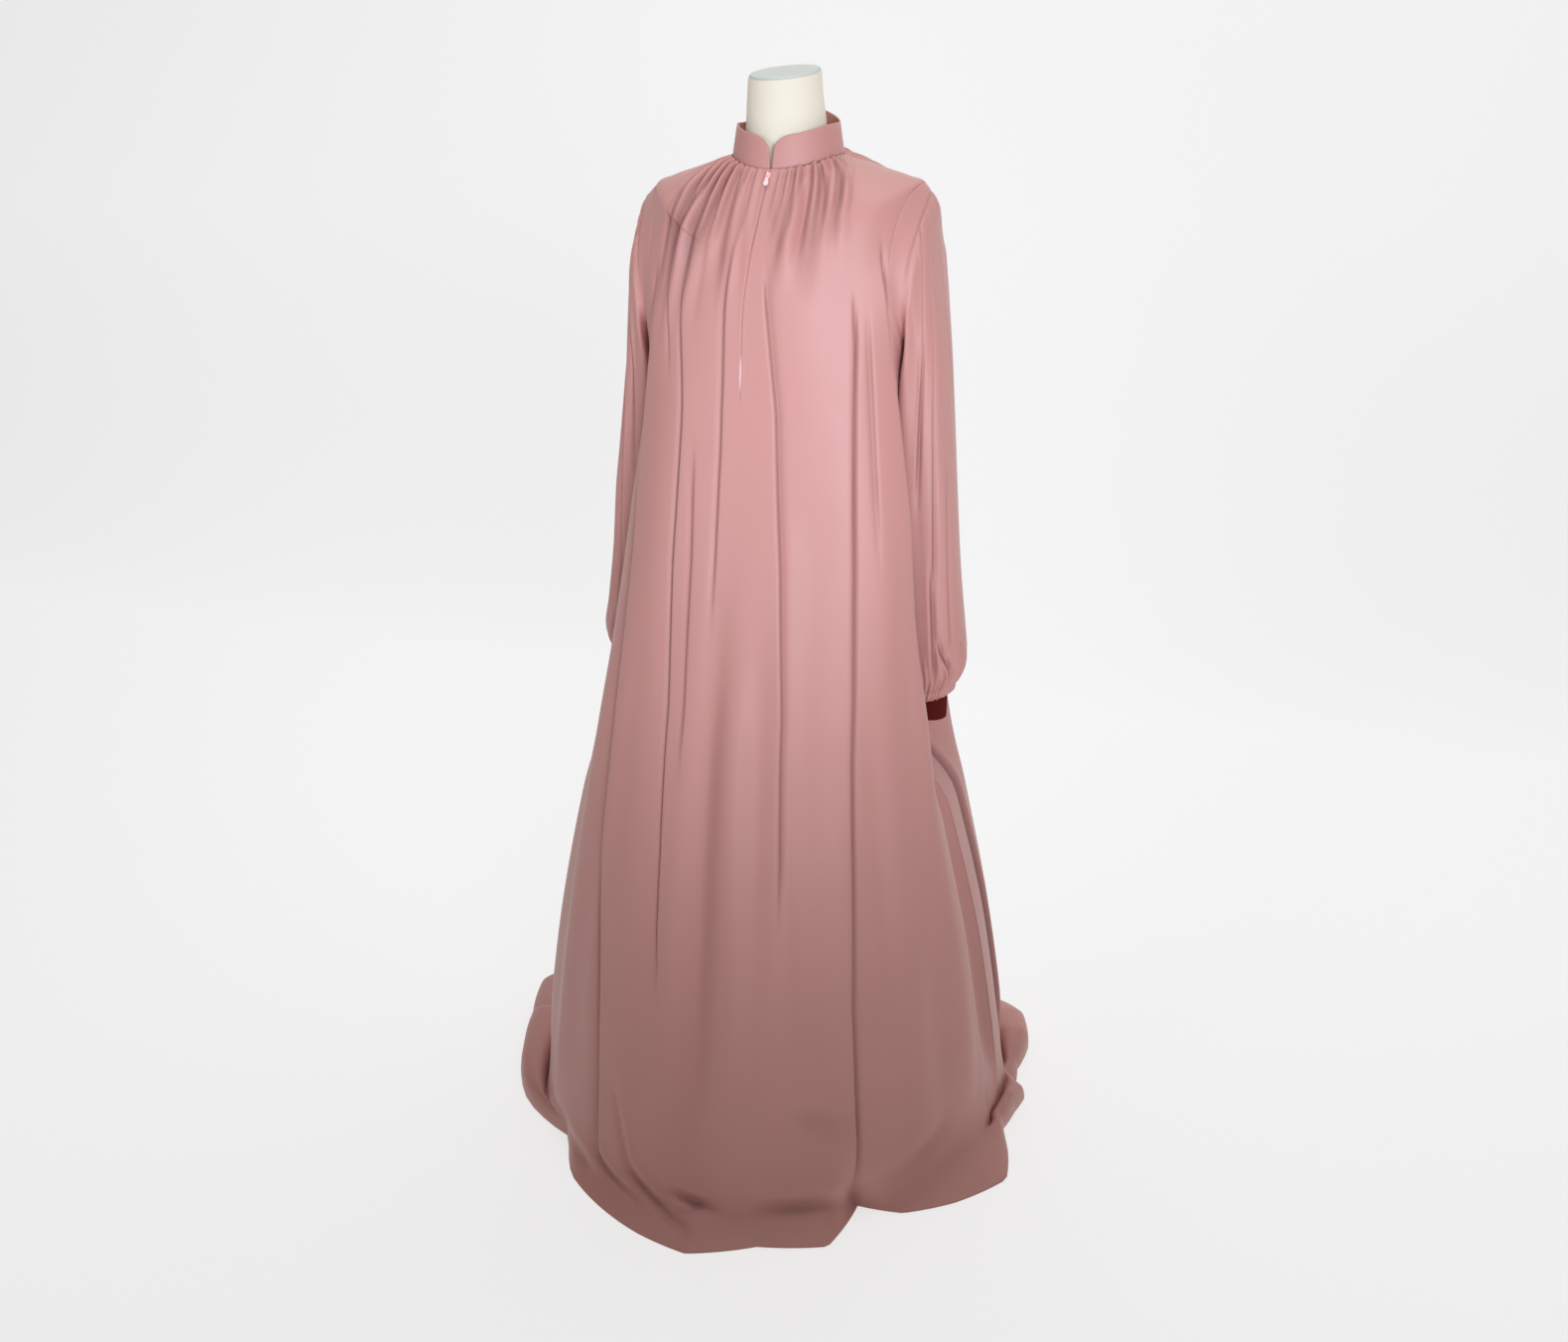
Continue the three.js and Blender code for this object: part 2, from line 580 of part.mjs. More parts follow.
function zipSlider() {
  const bottom = SLIDER.lift;
  const top = bottom + SLIDER.thick;
  const plate = block(SLIDER.width, SLIDER.length, SLIDER.thick, 0, 0, bottom + SLIDER.thick / 2);
  const loop = block(ARCH.width, ARCH.length, ARCH.height + 2 * ARCH.sink, 0, 0,
    top + ARCH.height / 2 - ARCH.sink);
  const hole = block(2 * ARCH.width, ARCH.length - 2 * ARCH.bar, ARCH.height - ARCH.bar, 0, 0,
    top + (ARCH.height - ARCH.bar) / 2);
  const arch = loop.subtract(hole);
  return fromSolid(plate.add(arch));
}

// a flat drop with a rounded end, and an eye through which the slider's arch passes
function zipPull() {
  const outline = new THREE.Shape();
  const half = PULL.width / 2;
  const neck = PULL.neckWidth / 2;
  const [neckCurve, bellyCurve] = [PULL.eyeEnd + PULL.neckCurve, PULL.length - PULL.bellyCurve];
  outline.moveTo(-neck, -PULL.eyeBar);
  outline.lineTo(neck, -PULL.eyeBar);
  outline.lineTo(neck, PULL.eyeEnd);
  outline.bezierCurveTo(neck, neckCurve, half, bellyCurve, half, PULL.length - half);
  outline.absarc(0, PULL.length - half, half, 0, Math.PI, false);
  outline.bezierCurveTo(-half, bellyCurve, -neck, neckCurve, -neck, PULL.eyeEnd);
  const eye = new THREE.Path();
  const edge = PULL.eyeWidth / 2;
  eye.moveTo(-edge, PULL.eyeBar);
  eye.lineTo(edge, PULL.eyeBar);
  eye.lineTo(edge, PULL.eyeEnd);
  eye.lineTo(-edge, PULL.eyeEnd);
  outline.holes.push(eye);
  const extrusion = { depth: PULL.thick, bevelEnabled: false, curveSegments: 8 };
  const geometry = new THREE.ExtrudeGeometry(outline, extrusion);
  const lift = SLIDER.lift + SLIDER.thick + PULL.axisLift;
  geometry.translate(0, 0, lift - PULL.thick / 2);
  return fromSolid(toSolid(geometry));
}

// ---------------------------------------------------------------- materials and the scene
const look = {
  cloth: { color: 0xd9a6a6, roughness: 0.48, metalness: 0 },
  cuff: { color: 0x55150f, roughness: 0.7, metalness: 0 },
  tape: { color: 0xeccfd0, roughness: 0.7, metalness: 0 },
  pull: { color: 0xf2b9b6, roughness: 0.3, metalness: 0.1 },
  jersey: { color: 0xf3eddc, roughness: 0.85, metalness: 0 },
  cap: { color: 0xc9ccc4, roughness: 0.8, metalness: 0 },
  steel: { color: 0xb9bbbd, roughness: 0.35, metalness: 0.9 },
};

const abaya = new THREE.Group();

function addNode(name, geometry, finish, parent = abaya) {
  const mesh = new THREE.Mesh(geometry, new THREE.MeshStandardMaterial(finish));
  mesh.name = name;
  parent.add(mesh);
}

addNode('front', frontPanel(), look.cloth);
addNode('back', bodyPanel(PANEL_COLUMNS.back, 180), look.cloth);
addNode('collar', collar(), look.cloth);
for (const [name, side] of [['left', 1], ['right', -1]]) {
  addNode(`sleeve_${name}`, sleeve(side), look.cloth);
  addNode(`cuff_${name}`, cuff(side), look.cuff);
}
addNode('zip_tape', zipTape(), look.tape);

const sliderPlace = new THREE.Group();
sliderPlace.applyMatrix4(sliderFrame());
abaya.add(sliderPlace);
addNode('zip_slider', zipSlider(), look.pull, sliderPlace);
addNode('zip_pull', zipPull(), look.pull, sliderPlace);

addNode('form_torso', formTorso(), look.jersey);
addNode('form_neck_cap', formNeckCap(), look.cap);
addNode('form_pole', formPole(), look.steel);
addNode('form_base', formBase(), look.steel);

export default abaya;
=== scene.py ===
"""A dusty-pink satin crepe abaya on a limbless dress form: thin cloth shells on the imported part."""
import math

import bpy
import numpy as np
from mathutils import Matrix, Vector


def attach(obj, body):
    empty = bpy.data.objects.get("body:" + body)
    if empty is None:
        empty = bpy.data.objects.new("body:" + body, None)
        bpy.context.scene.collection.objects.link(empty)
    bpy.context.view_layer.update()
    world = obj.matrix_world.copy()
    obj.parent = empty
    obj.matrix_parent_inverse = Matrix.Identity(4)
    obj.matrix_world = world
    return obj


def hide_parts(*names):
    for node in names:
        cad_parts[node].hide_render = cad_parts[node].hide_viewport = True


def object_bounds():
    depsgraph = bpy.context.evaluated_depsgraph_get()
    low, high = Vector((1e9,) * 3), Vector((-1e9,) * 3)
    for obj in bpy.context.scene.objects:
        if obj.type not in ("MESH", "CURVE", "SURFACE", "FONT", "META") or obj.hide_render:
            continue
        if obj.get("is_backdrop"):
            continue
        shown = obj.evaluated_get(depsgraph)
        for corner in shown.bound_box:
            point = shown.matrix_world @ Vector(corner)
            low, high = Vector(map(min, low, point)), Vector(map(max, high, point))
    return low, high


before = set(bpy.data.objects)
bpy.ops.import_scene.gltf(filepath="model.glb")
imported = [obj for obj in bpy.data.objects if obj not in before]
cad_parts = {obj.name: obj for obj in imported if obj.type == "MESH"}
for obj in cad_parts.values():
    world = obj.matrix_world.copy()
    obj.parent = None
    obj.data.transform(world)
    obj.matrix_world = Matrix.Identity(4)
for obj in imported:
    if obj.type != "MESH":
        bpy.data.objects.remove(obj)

packed_low, packed_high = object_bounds()

MM = 0.001                  # the tables below are in millimetres and degrees
CLOTH = 0.8                 # thickness of the gown's cloth
KNIT = 1.6                  # thickness of the knitted cuffs
COLLAR_THICK = 1.9          # two layers and the stiffening between them
SEAM_GAP = 0.05
FLOOR_BREAK = 13            # place of the section where the cloth reaches the floor
HEM = 15                    # place of the hem's edge, out on the floor
BEND_START = 11.9           # place where the cloth begins to bend onto the floor
ZIP_END = 4.95              # place where the zip's slit ends
PAINTED_SHADE_ATTRIBUTE = "painted_shade"           # mesh attribute: painted shade, how far the cloth's colour darkens in creases, dents, gathers and the sleeve-head seam, from 0 to 1
rng = np.random.default_rng(11)


class Table:
    """Rows of numbers under named columns."""

    def __init__(self, names, rows):
        self.rows = np.array(rows, float)
        self.names = names.split()
        for name, column in zip(self.names, self.rows.T):
            setattr(self, name, column)

    def __iter__(self):
        for row in self.rows:
            yield dict(zip(self.names, row))

    def along(self, name, place):
        """A column read between its rows by a curve that doesn't overshoot."""
        values = getattr(self, name)
        steps = np.diff(values)
        pairs = steps[:-1] * steps[1:]
        sums = np.where(pairs > 0, steps[:-1] + steps[1:], 1.0)
        inner = np.where(pairs > 0, 2 * pairs / sums, 0.0)
        slope = np.concatenate([[steps[0]], inner, [steps[-1]]])
        k = np.clip(np.floor(place), 0, len(values) - 2).astype(int)
        t = place - k
        return ((2 * t**3 - 3 * t**2 + 1) * values[k] + (t**3 - 2 * t**2 + t) * slope[k]
                + (3 * t**2 - 2 * t**3) * values[k + 1] + (t**3 - t**2) * slope[k + 1])


# ---------------------------------------------------------------- shape tables
SECTIONS = Table("width front back cx cy power z_side z_front z_back hollow", [
    [75, -63, 88, 2, 14, 2.0, 1417, 1400, 1438, 0],
    [122, -88, 108, 2, 18, 2.1, 1403, 1368, 1412, 0],
    [158, -112, 124, 2, 20, 2.2, 1390, 1330, 1368, 0],
    [177, -136, 136, 2, 20, 2.15, 1368, 1286, 1310, 0],
    [176, -150, 142, 0, 18, 2.35, 1262, 1222, 1238, 0],
    [188, -158, 148, 0, 10, 2.5, 1125, 1115, 1120, 15],
    [210, -180, 168, -3, 4, 2.4, 970, 970, 970, 46],
    [240, -224, 208, -8, 0, 2.3, 740, 740, 740, 64],
    [258, -250, 234, -12, 0, 2.2, 620, 620, 620, 68],
    [280, -276, 262, -13, 0, 2.2, 500, 500, 500, 8],
    [323, -325, 306, -11, 0, 2.1, 290, 290, 290, 0],
    [347, -366, 345, -10, 0, 2.0, 140, 140, 140, 0],
    [360, -394, 362, -10, 0, 2.0, 45, 45, 45, 0],
    [366, -404, 372, -10, 0, 2.0, 6, 6, 6, 0]])
HOLLOW_BEGIN, HOLLOW_FULL, HOLLOW_FADE, HOLLOW_END = 66, 80, 106, 122
LEFT_FRONT_TURN, RIGHT_BACK_TURN, WRIST_PLACE = 4, 9, 8    # how the hollows differ beside the wrists
ARMHOLE_MIDDLE, ARMHOLE_HALF, ARMHOLE_SPREAD = 3.87, 1.02, 25
ARMHOLE_X, ARMHOLE_Y, ARMHOLE_Z, EASE = 170, 20, 1255, 20
SEAM_FILL = 6
TIP_X, TIP_Z, TIP_OUT, TIP_UP = 190, 1366, 7, 12            # the shoulder points
HEM_TUCK, HEM_HEIGHT = 12, 2
ROLL_LIFT_LOW, ROLL_LIFT_HIGH = 10, 30     # hem lifts between which the bend turns into a roll

HEM_LINE = Table("phi radius lift", [
    [-180, 425, 6], [-150, 440, 8], [-125, 462, 20], [-112, 476, 38], [-101, 490, 46], [-90, 452, 42],
    [-79, 434, 38], [-68, 424, 33], [-60, 413, 26], [-53, 396, 12], [-43, 372, 4], [-31, 413, 4],
    [-9, 449, 3], [1, 462, 3], [13, 430, 4], [26, 432, 3], [35, 358, 3], [43, 395, 3],
    [54, 414, 3], [67, 430, 4], [75, 400, 10], [82, 372, 26], [90, 378, 34], [96, 388, 26],
    [102, 374, 8], [108, 380, 24], [117, 412, 40], [126, 431, 36], [137, 426, 20], [150, 420, 10],
    [180, 425, 6]])

# A crease for each row: its direction at the heights below, where it starts and ends, the
# side that stands proud (1: the wearer's left), that lip's height, the dip beside it, the
# half-width of the step between them, and how far the lip takes to sink back.
CREASE_HEIGHTS = (1300, 1100, 900, 700, 500, 300, 50)
CREASE_NAMES = "p1300 p1100 p900 p700 p500 p300 p50 top bottom side lip dip step reach"
FRONT_CREASES = Table(CREASE_NAMES, [
    [-52, -59, -50, -44, -39, -32, -24, 1290, 12, 1, 4, 9, 5.5, 46],
    [-43, -38, -36, -32, -28, -24, -20, 1285, 1130, 1, 3, 5, 3, 20],
    [-34, -30, -26, -20, -16, -13, -12, 1275, 290, 1, 3.6, 5.5, 3.5, 30],
    [-27, -24, -18, -14, -12, -10, -9, 1060, 590, 1, 2.2, 3, 4, 24],
    [-10, -11, -8, -7, -6, -6, -5, 1380, 800, 1, 2.2, 3.4, 3.5, 24],
    [5, 13, 17, 19, 19, 18, 18, 1310, 400, -1, 2.6, 4.5, 3.5, 26],
    [46, 44, 43, 41, 39, 36, 35, 1260, 2, -1, 5.5, 7.5, 3.5, 32],
    [54, 54, 54, 54, 53, 53, 53, 1245, 880, 1, 2, 3, 3.5, 20],
    [60, 65, 69, 74, 76, 75, 79, 1320, 20, -1, 7.5, 10, 4, 34]])
BACK_CREASES = Table(CREASE_NAMES, [
    [112, 112, 110, 108, 106, 106, 108, 1120, 30, 1, 6, 7, 4, 40],
    [140, 136, 132, 128, 128, 126, 124, 1270, 200, 1, 4, 4, 4, 34],
    [152, 150, 148, 144, 142, 142, 140, 1240, 20, -1, 7, 8, 4, 40],
    [172, 170, 167, 164, 162, 160, 158, 1290, 260, 1, 4.5, 4, 4, 30],
    [186, 187, 190, 192, 194, 195, 196, 1300, 20, -1, 8, 8, 4, 44],
    [206, 208, 210, 210, 210, 211, 212, 1180, 420, 1, 3, 3, 4, 26],
    [222, 222, 224, 226, 228, 228, 230, 1270, 30, -1, 6, 7, 4, 40],
    [246, 248, 250, 252, 253, 253, 254, 1130, 60, -1, 6, 6, 4, 36]])

# Soft folds: direction at four heights, extent, half-width and height (negative: a trough).
SOFT_HEIGHTS = (1250, 900, 500, 50)
SOFT_GAIN = 1.25
SOFT_NAMES = "p1250 p900 p500 p50 top bottom half rise"
FRONT_SOFT = Table(SOFT_NAMES, [
    [-60, -56, -52, -46, 900, 10, 34, 9], [-44, -34, -26, -20, 1180, 60, 40, 4],
    [-22, -12, -6, 0, 900, 20, 38, -7], [0, 4, 8, 11, 820, 120, 34, 6],
    [9, 13, 14, 8, 620, 4, 50, 8], [26, 27, 26, 25, 1150, 30, 44, -6],
    [33, 33, 31, 30, 1000, 150, 30, 4], [48, 50, 46, 47, 760, 40, 34, -7],
    [52, 57, 55, 53, 1180, 20, 40, 6], [60, 64, 66, 66, 620, 20, 44, 8],
    [78, 84, 86, 88, 700, 20, 44, -12], [-80, -78, -72, -68, 760, 20, 44, 10],
    [-16, -13, -11, -9, 1040, 90, 20, 5], [-6, -5, -3, -2, 900, 100, 16, -4],
    [2, 3, 4, 5, 940, 60, 22, 5], [11, 12, 12, 12, 860, 120, 18, -5], [20, 21, 20, 21, 1020, 60, 22, 5],
    [41, 42, 44, 45, 840, 60, 20, 4], [62, 64, 60, 60, 980, 60, 22, -4], [-48, -44, -38, -34, 940, 80, 22, 4],
    [70, 70, 70, 70, 900, 40, 24, 5]])
BACK_SOFT = Table(SOFT_NAMES, [
    [120, 120, 118, 118, 900, 20, 50, 10], [134, 142, 136, 132, 1150, 60, 44, -7],
    [160, 158, 154, 150, 1200, 30, 42, 7], [176, 176, 176, 178, 1150, 20, 56, 8],
    [200, 200, 202, 204, 1000, 20, 44, -8], [214, 218, 218, 220, 1180, 40, 46, 7],
    [236, 238, 240, 242, 900, 20, 52, 10], [262, 264, 264, 264, 760, 20, 44, -8]])

# Dents and bent creases near the floor: their two ends, how far they bow, half-width, depth
# and the height of the lip on their upper side.
DENT_NAMES = "phi_a place_a phi_b place_b bow half depth lip"
FRONT_DENTS = Table(DENT_NAMES, [
    [-21, 11.0, 1, 14.2, 0, 6.5, 8, 4], [-26, 11.5, -12, 13.3, -3, 6, 7, 3],
    [-4, 12.3, 5, 12.6, 0, 8, 10, 4], [2, 12.5, -2, 13.4, 0, 5, 4, 2], [14, 12.5, 30, 12.6, 0, 12, 9, 3],
    [22, 10.8, 33, 11.0, 0, 16, 4, 0], [-40, 12.2, -26, 13.4, 3, 9, 4, 3],
    [42, 12.0, 60, 11.4, 4, 14, 5, 3], [-58, 11.6, -44, 12.6, 0, 12, 5, 2]])
BACK_DENTS = Table(DENT_NAMES, [
    [118, 11.2, 140, 12.8, 0, 9, 7, 4], [150, 12.2, 166, 12.5, 2, 11, 6, 3],
    [176, 11.4, 192, 12.9, 0, 8, 7, 4], [204, 12.4, 222, 12.1, 0, 12, 6, 3],
    [228, 11.2, 240, 12.6, 0, 10, 6, 3]])

# Gathers below the collar: direction at the seam, half-way and at the end, the end's place,
# the height of the ridge, and its half-width at the seam.
GATHER_NAMES = "start middle last end rise half"
FRONT_GATHERS = Table(GATHER_NAMES, [
    [-84, -64, -57, 2.4, 1.2, 3.4], [-76, -54, -52, 3.2, 2.4, 3.4], [-68, -47, -49, 4.6, 4.2, 3.2],
    [-60, -41, -44, 4.8, 5.2, 3.0], [-51, -38, -40, 4.2, 5.2, 2.8], [-43, -31, -33, 4.6, 5.4, 2.9],
    [-35, -25, -27, 4.0, 4.6, 3.0], [-27, -19, -19, 3.2, 2.6, 2.8], [-20, -13, -11, 4.4, 3.0, 2.8],
    [-12, -9, -8, 2.6, 1.4, 2.4], [12, 9, 8, 2.2, 1.2, 2.2], [20, 14, 11, 2.8, 2.0, 2.6],
    [28, 19, 15, 3.9, 3.2, 3.0], [36, 25, 20, 2.6, 1.8, 2.4], [44, 30, 25, 3.8, 3.0, 2.8],
    [52, 36, 31, 4.1, 3.4, 3.2], [60, 43, 38, 2.9, 2.6, 2.8], [68, 48, 41, 3.4, 3.2, 3.2],
    [77, 54, 46, 2.6, 2.2, 3.4], [85, 62, 54, 1.8, 1.2, 3.4],
    [36, 24, 20, 4.2, -3.2, 5.0], [50, 34, 29, 4.1, -3.0, 5.5]])
BACK_GATHERS = Table(GATHER_NAMES, [
    [98, 112, 120, 2.3, 1.6, 3], [107, 124, 130, 3.0, 2.6, 3.4], [119, 131, 136, 2.2, 2.0, 3],
    [129, 140, 146, 3.3, 2.8, 3.6], [140, 148, 151, 1.9, 1.6, 2.8], [150, 157, 160, 2.9, 2.6, 3.4],
    [161, 165, 168, 2.2, 2.0, 3], [171, 174, 175, 3.2, 2.6, 3.4], [182, 182, 183, 2.0, 1.8, 3],
    [191, 188, 187, 3.4, 3.0, 3.6], [203, 197, 193, 2.4, 2.0, 3], [213, 205, 201, 3.1, 2.8, 3.4],
    [224, 213, 208, 2.1, 1.8, 2.8], [235, 223, 216, 3.2, 3.0, 3.6], [247, 233, 227, 2.3, 2.0, 3],
    [259, 244, 236, 2.6, 2.2, 3.2]])

SLEEVE = Table("out_x out_z in_x in_z y half_y right_out", [
    [203, 1352, 179, 1156, 20, 74, 0], [211, 1300, 179, 1148, 20, 72, 1],
    [219, 1235, 178, 1138, 20, 68, 2], [227, 1165, 176, 1120, 20, 64, 4],
    [235, 1080, 173, 1072, 18, 60, 8], [245, 965, 174, 962, 14, 56, 12],
    [254, 860, 180, 856, 12, 54, 13], [265, 776, 186, 756, 8, 54, 12],
    [270, 733, 192, 703, 4, 48, 9], [250, 682, 196, 668, 0, 29, 8]])
SLEEVE_END = 10             # place of the sleeve's lower edge

# Sleeve creases: direction round the sleeve at their two ends (0 outer, 90 front), the
# places they run between, the lip's side and height, and the dip beside it.
SLEEVE_CREASES = Table("turn_top turn_end begin end side lip dip", [
    [30, 74, 1.0, 7.4, 1, 3, 4.5], [44, 104, 0.6, 6.2, 1, 3, 4], [30, 48, 5.4, 8.4, 1, 2.5, 3.5],
    [78, 42, 7.7, 9.7, 1, 4, 6], [76, 86, 6.6, 9.4, 1, 3, 5], [12, 28, 7.8, 9.5, 1, 3, 5],
    [8, 0, 0.6, 5.2, 1, 1.5, 2], [146, 138, 3.2, 9.3, 1, 3, 3.5], [-40, -30, 1.2, 9.3, 1, 3, 3.5],
    [-76, -62, 0.3, 6.4, -1, 2.5, 3], [-104, -96, 3.6, 9.2, 1, 2.5, 3.5], [-140, -136, 2.0, 9.2, -1, 2.5, 3]])
RIGHT_SLEEVE_TURN = 7       # how far round the right sleeve's creases lie from the left's

CUFF_RADIUS, CUFF_X, CUFF_TOP, CUFF_BOTTOM, CUFF_RIBS = 24, 222.6, 684, 645, 42
COLLAR_HEIGHT, COLLAR_LEAN, COLLAR_CORNER, COLLAR_CORNER_START = 40, 6, 26, 15
COLLAR_NOTCH, COLLAR_NOTCH_TOP = 1.2, 3
SLIT_HALF, GAPE_HALF, GAPE_START = 0.12, 1.7, 4.5
TAPE_HALF, TAPE_THICK, TAPE_BEHIND, TAPE_START, TAPE_END = 9, 0.5, 0.5, 0.35, 5.15
SEAM_DIP = 0.05
FORM_TORSO = Table("place share", [
    [6.55, 0.7], [6.3, 0.74], [5.9, 0.72], [5.5, 0.68], [5.0, 0.75], [4.59, 0.84], [4.26, 0.9],
    [3.87, 0.94], [3.48, 0.965], [3.15, 0.98], [2.93, 0.985], [2.85, 0.985], [2.1, 1], [1.3, 1],
    [0.6, 0.98], [0.3, 0.92], [0.15, 0.84]])
FORM_NECK = Table("z radius y", [[1440, 57, 13], [1452, 54, 11], [1470, 52.5, 9], [1490, 50.5, 6]])


# ---------------------------------------------------------------- small helpers
def smooth(x, start, end):
    t = np.clip((x - start) / (end - start), 0, 1)
    return t * t * (3 - 2 * t)


def bell(x):
    return np.exp(-x * x)


def wrap(angle):
    return (angle + 180) % 360 - 180


def unit(vectors):
    return vectors / np.maximum(np.linalg.norm(vectors, axis=-1, keepdims=True), 1e-9)


def clustered(count, pull):
    """Shares from 0 to 1 that crowd at both ends."""
    t = np.linspace(0, 1, count + 1)
    return (1 - pull) * t + pull * t * t * (3 - 2 * t)


# ---------------------------------------------------------------- the body's plain surface
def standing(phi, place, plain=False):
    """The body down to where it meets the floor."""
    s = {name: SECTIONS.along(name, place) for name in SECTIONS.names}
    sin, cos = np.sin(np.radians(phi)), np.cos(np.radians(phi))
    depth = np.where(cos > 0, s["cy"] - s["front"], s["back"] - s["cy"])
    radius = ((np.abs(sin) / s["width"])**s["power"]
              + (np.abs(cos) / depth)**s["power"])**(-1 / s["power"])
    z = s["z_side"] + (np.where(cos > 0, s["z_front"], s["z_back"]) - s["z_side"]) * cos**2
    if not plain:
        at_wrist = bell(place - WRIST_PLACE)
        aside = np.abs(wrap(phi))
        front = aside - np.where(wrap(phi) > 0, LEFT_FRONT_TURN * at_wrist, 0)
        behind = aside + np.where(wrap(phi) < 0, RIGHT_BACK_TURN * at_wrist, 0)
        hollow = smooth(front, HOLLOW_BEGIN, HOLLOW_FULL) * (1 - smooth(behind, HOLLOW_FADE, HOLLOW_END))
        radius = radius - s["hollow"] * hollow
        over = np.maximum(0, radius - hem("radius", phi) + HEM_TUCK)
        radius = radius - over * smooth(place, FLOOR_BREAK - 2, FLOOR_BREAK)
    return np.stack([s["cx"] + radius * sin, s["cy"] - radius * cos, z], -1)


def hem(name, phi):
    return np.interp(wrap(phi), HEM_LINE.phi, getattr(HEM_LINE, name))


def body(phi, place, plain=False):
    """The whole body: above the bend it stands, below it it curves out to the hem on the floor.

    Where the hem's lift is high the cloth comes down to the floor first and then rises in a roll.
    """
    if plain:
        return standing(phi, place, plain=True)
    radius, lift = hem("radius", phi), hem("lift", phi)
    edge = np.stack([radius * np.sin(np.radians(phi)), -radius * np.cos(np.radians(phi)),
                     np.full_like(radius, HEM_HEIGHT)], -1)
    corner = standing(phi, np.full_like(place, FLOOR_BREAK))
    above = standing(phi, np.minimum(place, BEND_START))
    t = np.clip((place - BEND_START) / (HEM - BEND_START), 0, 1)[..., None]
    curved = (1 - t)**2 * above + 2 * t * (1 - t) * corner + t**2 * edge
    out = np.clip((place - FLOOR_BREAK) / (HEM - FLOOR_BREAK), 0, 1)[..., None]
    roll = smooth(lift, ROLL_LIFT_LOW, ROLL_LIFT_HIGH)[..., None]
    across = out - roll * np.sin(2 * np.pi * out) / (2 * np.pi)
    rolled = standing(phi, np.minimum(place, FLOOR_BREAK)) * (1 - across) + edge * across
    point = curved * (1 - roll) + rolled * roll
    point[..., 2] += lift * np.sin(np.pi * out[..., 0])**0.75
    return point


def body_height(phi, place):
    return body(np.asarray(phi, float), np.asarray(place, float))[..., 2]


def eased_armholes(grid):
    """Fills out the cloth in front of and behind each armhole, so body and sleeve run into each other."""
    x, y, z = grid[..., 0], grid[..., 1], grid[..., 2]
    reach = bell((np.abs(x) - ARMHOLE_X) / 34) * bell((z - ARMHOLE_Z) / 90)
    grid = grid.copy()
    grid[..., 1] -= EASE * reach * np.tanh((ARMHOLE_Y - y) / 30)
    ring = np.hypot((y - ARMHOLE_Y) / 75, (z - ARMHOLE_Z) / 110)
    fill = SEAM_FILL * bell((ring - 1) * 90 / 24) * bell((np.abs(x) - ARMHOLE_X) / 24)
    grid[..., 0] += np.sign(x) * 0.8 * fill
    grid[..., 1] -= np.tanh((ARMHOLE_Y - y) / 30) * 0.8 * fill
    tip = bell((np.abs(x) - TIP_X) / 26) * bell((y - ARMHOLE_Y) / 45) * bell((z - TIP_Z) / 30)
    grid[..., 0] += np.sign(x) * TIP_OUT * tip
    grid[..., 2] += TIP_UP * tip
    return grid


def path_at(heights, angles, place):
    """Direction of a line down the body at each place, from its directions at some heights."""
    phi = np.full(len(place), float(np.mean(angles)))
    for _ in range(3):
        z = body_height(phi, place)
        phi = np.interp(-z, [-h for h in heights], angles)
    return phi


def edge_turn(place):
    """How far from the shoulder and side seams a panel's edge lies, in degrees."""
    across = np.clip((place - ARMHOLE_MIDDLE) / ARMHOLE_HALF, -1, 1)
    width = SECTIONS.along("width", np.minimum(place, FLOOR_BREAK))
    return ARMHOLE_SPREAD * np.sqrt(1 - across**2) + np.degrees(SEAM_GAP / 2 / width)


# ---------------------------------------------------------------- meshes
def add_mesh(name, points, faces, slot, thickness=None, painted_shade=None):
    mesh = bpy.data.meshes.new(name)
    mesh.from_pydata((points.reshape(-1, 3) * MM).tolist(), [], faces)
    mesh.update()
    mesh.polygons.foreach_set("use_smooth", [True] * len(mesh.polygons))
    piece = bpy.data.objects.new(name, mesh)
    bpy.context.scene.collection.objects.link(piece)
    mesh.materials.append(MATERIALS[slot])
    # painted shade: the per-point crease darkening is stored on the mesh for the material to read
    if painted_shade is not None:
        shade_amounts = mesh.attributes.new(PAINTED_SHADE_ATTRIBUTE, "FLOAT", "POINT")
        shade_amounts.data.foreach_set("value", np.clip(painted_shade, 0, 1).astype(np.float32).ravel())
    if thickness:
        wall = piece.modifiers.new("wall", "SOLIDIFY")
        wall.thickness = thickness * MM
        wall.offset = -1
    return piece


def grid_faces(rows, columns, ring=False, keep=None):
    faces = []
    for j in range(rows - 1):
        for i in range(columns if ring else columns - 1):
            if keep is None or keep(i, j):
                a, b = j * columns + i, j * columns + (i + 1) % columns
                faces.append((a, a + columns, b + columns, b))
    return faces


def frames(grid, ring=False):
    """Unit vectors out of a grid of points and along its rows."""
    down = np.gradient(grid, axis=0)
    if ring:
        along = (np.roll(grid, -1, axis=1) - np.roll(grid, 1, axis=1)) / 2
    else:
        along = np.gradient(grid, axis=1)
    along = unit(along)
    return unit(np.cross(down, along)), along


def relaxed(grid, weight, rounds):
    """Evens out a grid down its columns, where weight is above 0."""
    for _ in range(rounds):
        middle = (grid[:-2] + grid[2:]) / 2
        grid[1:-1] += (middle - grid[1:-1]) * weight[1:-1, None, None] * 0.5
    return grid


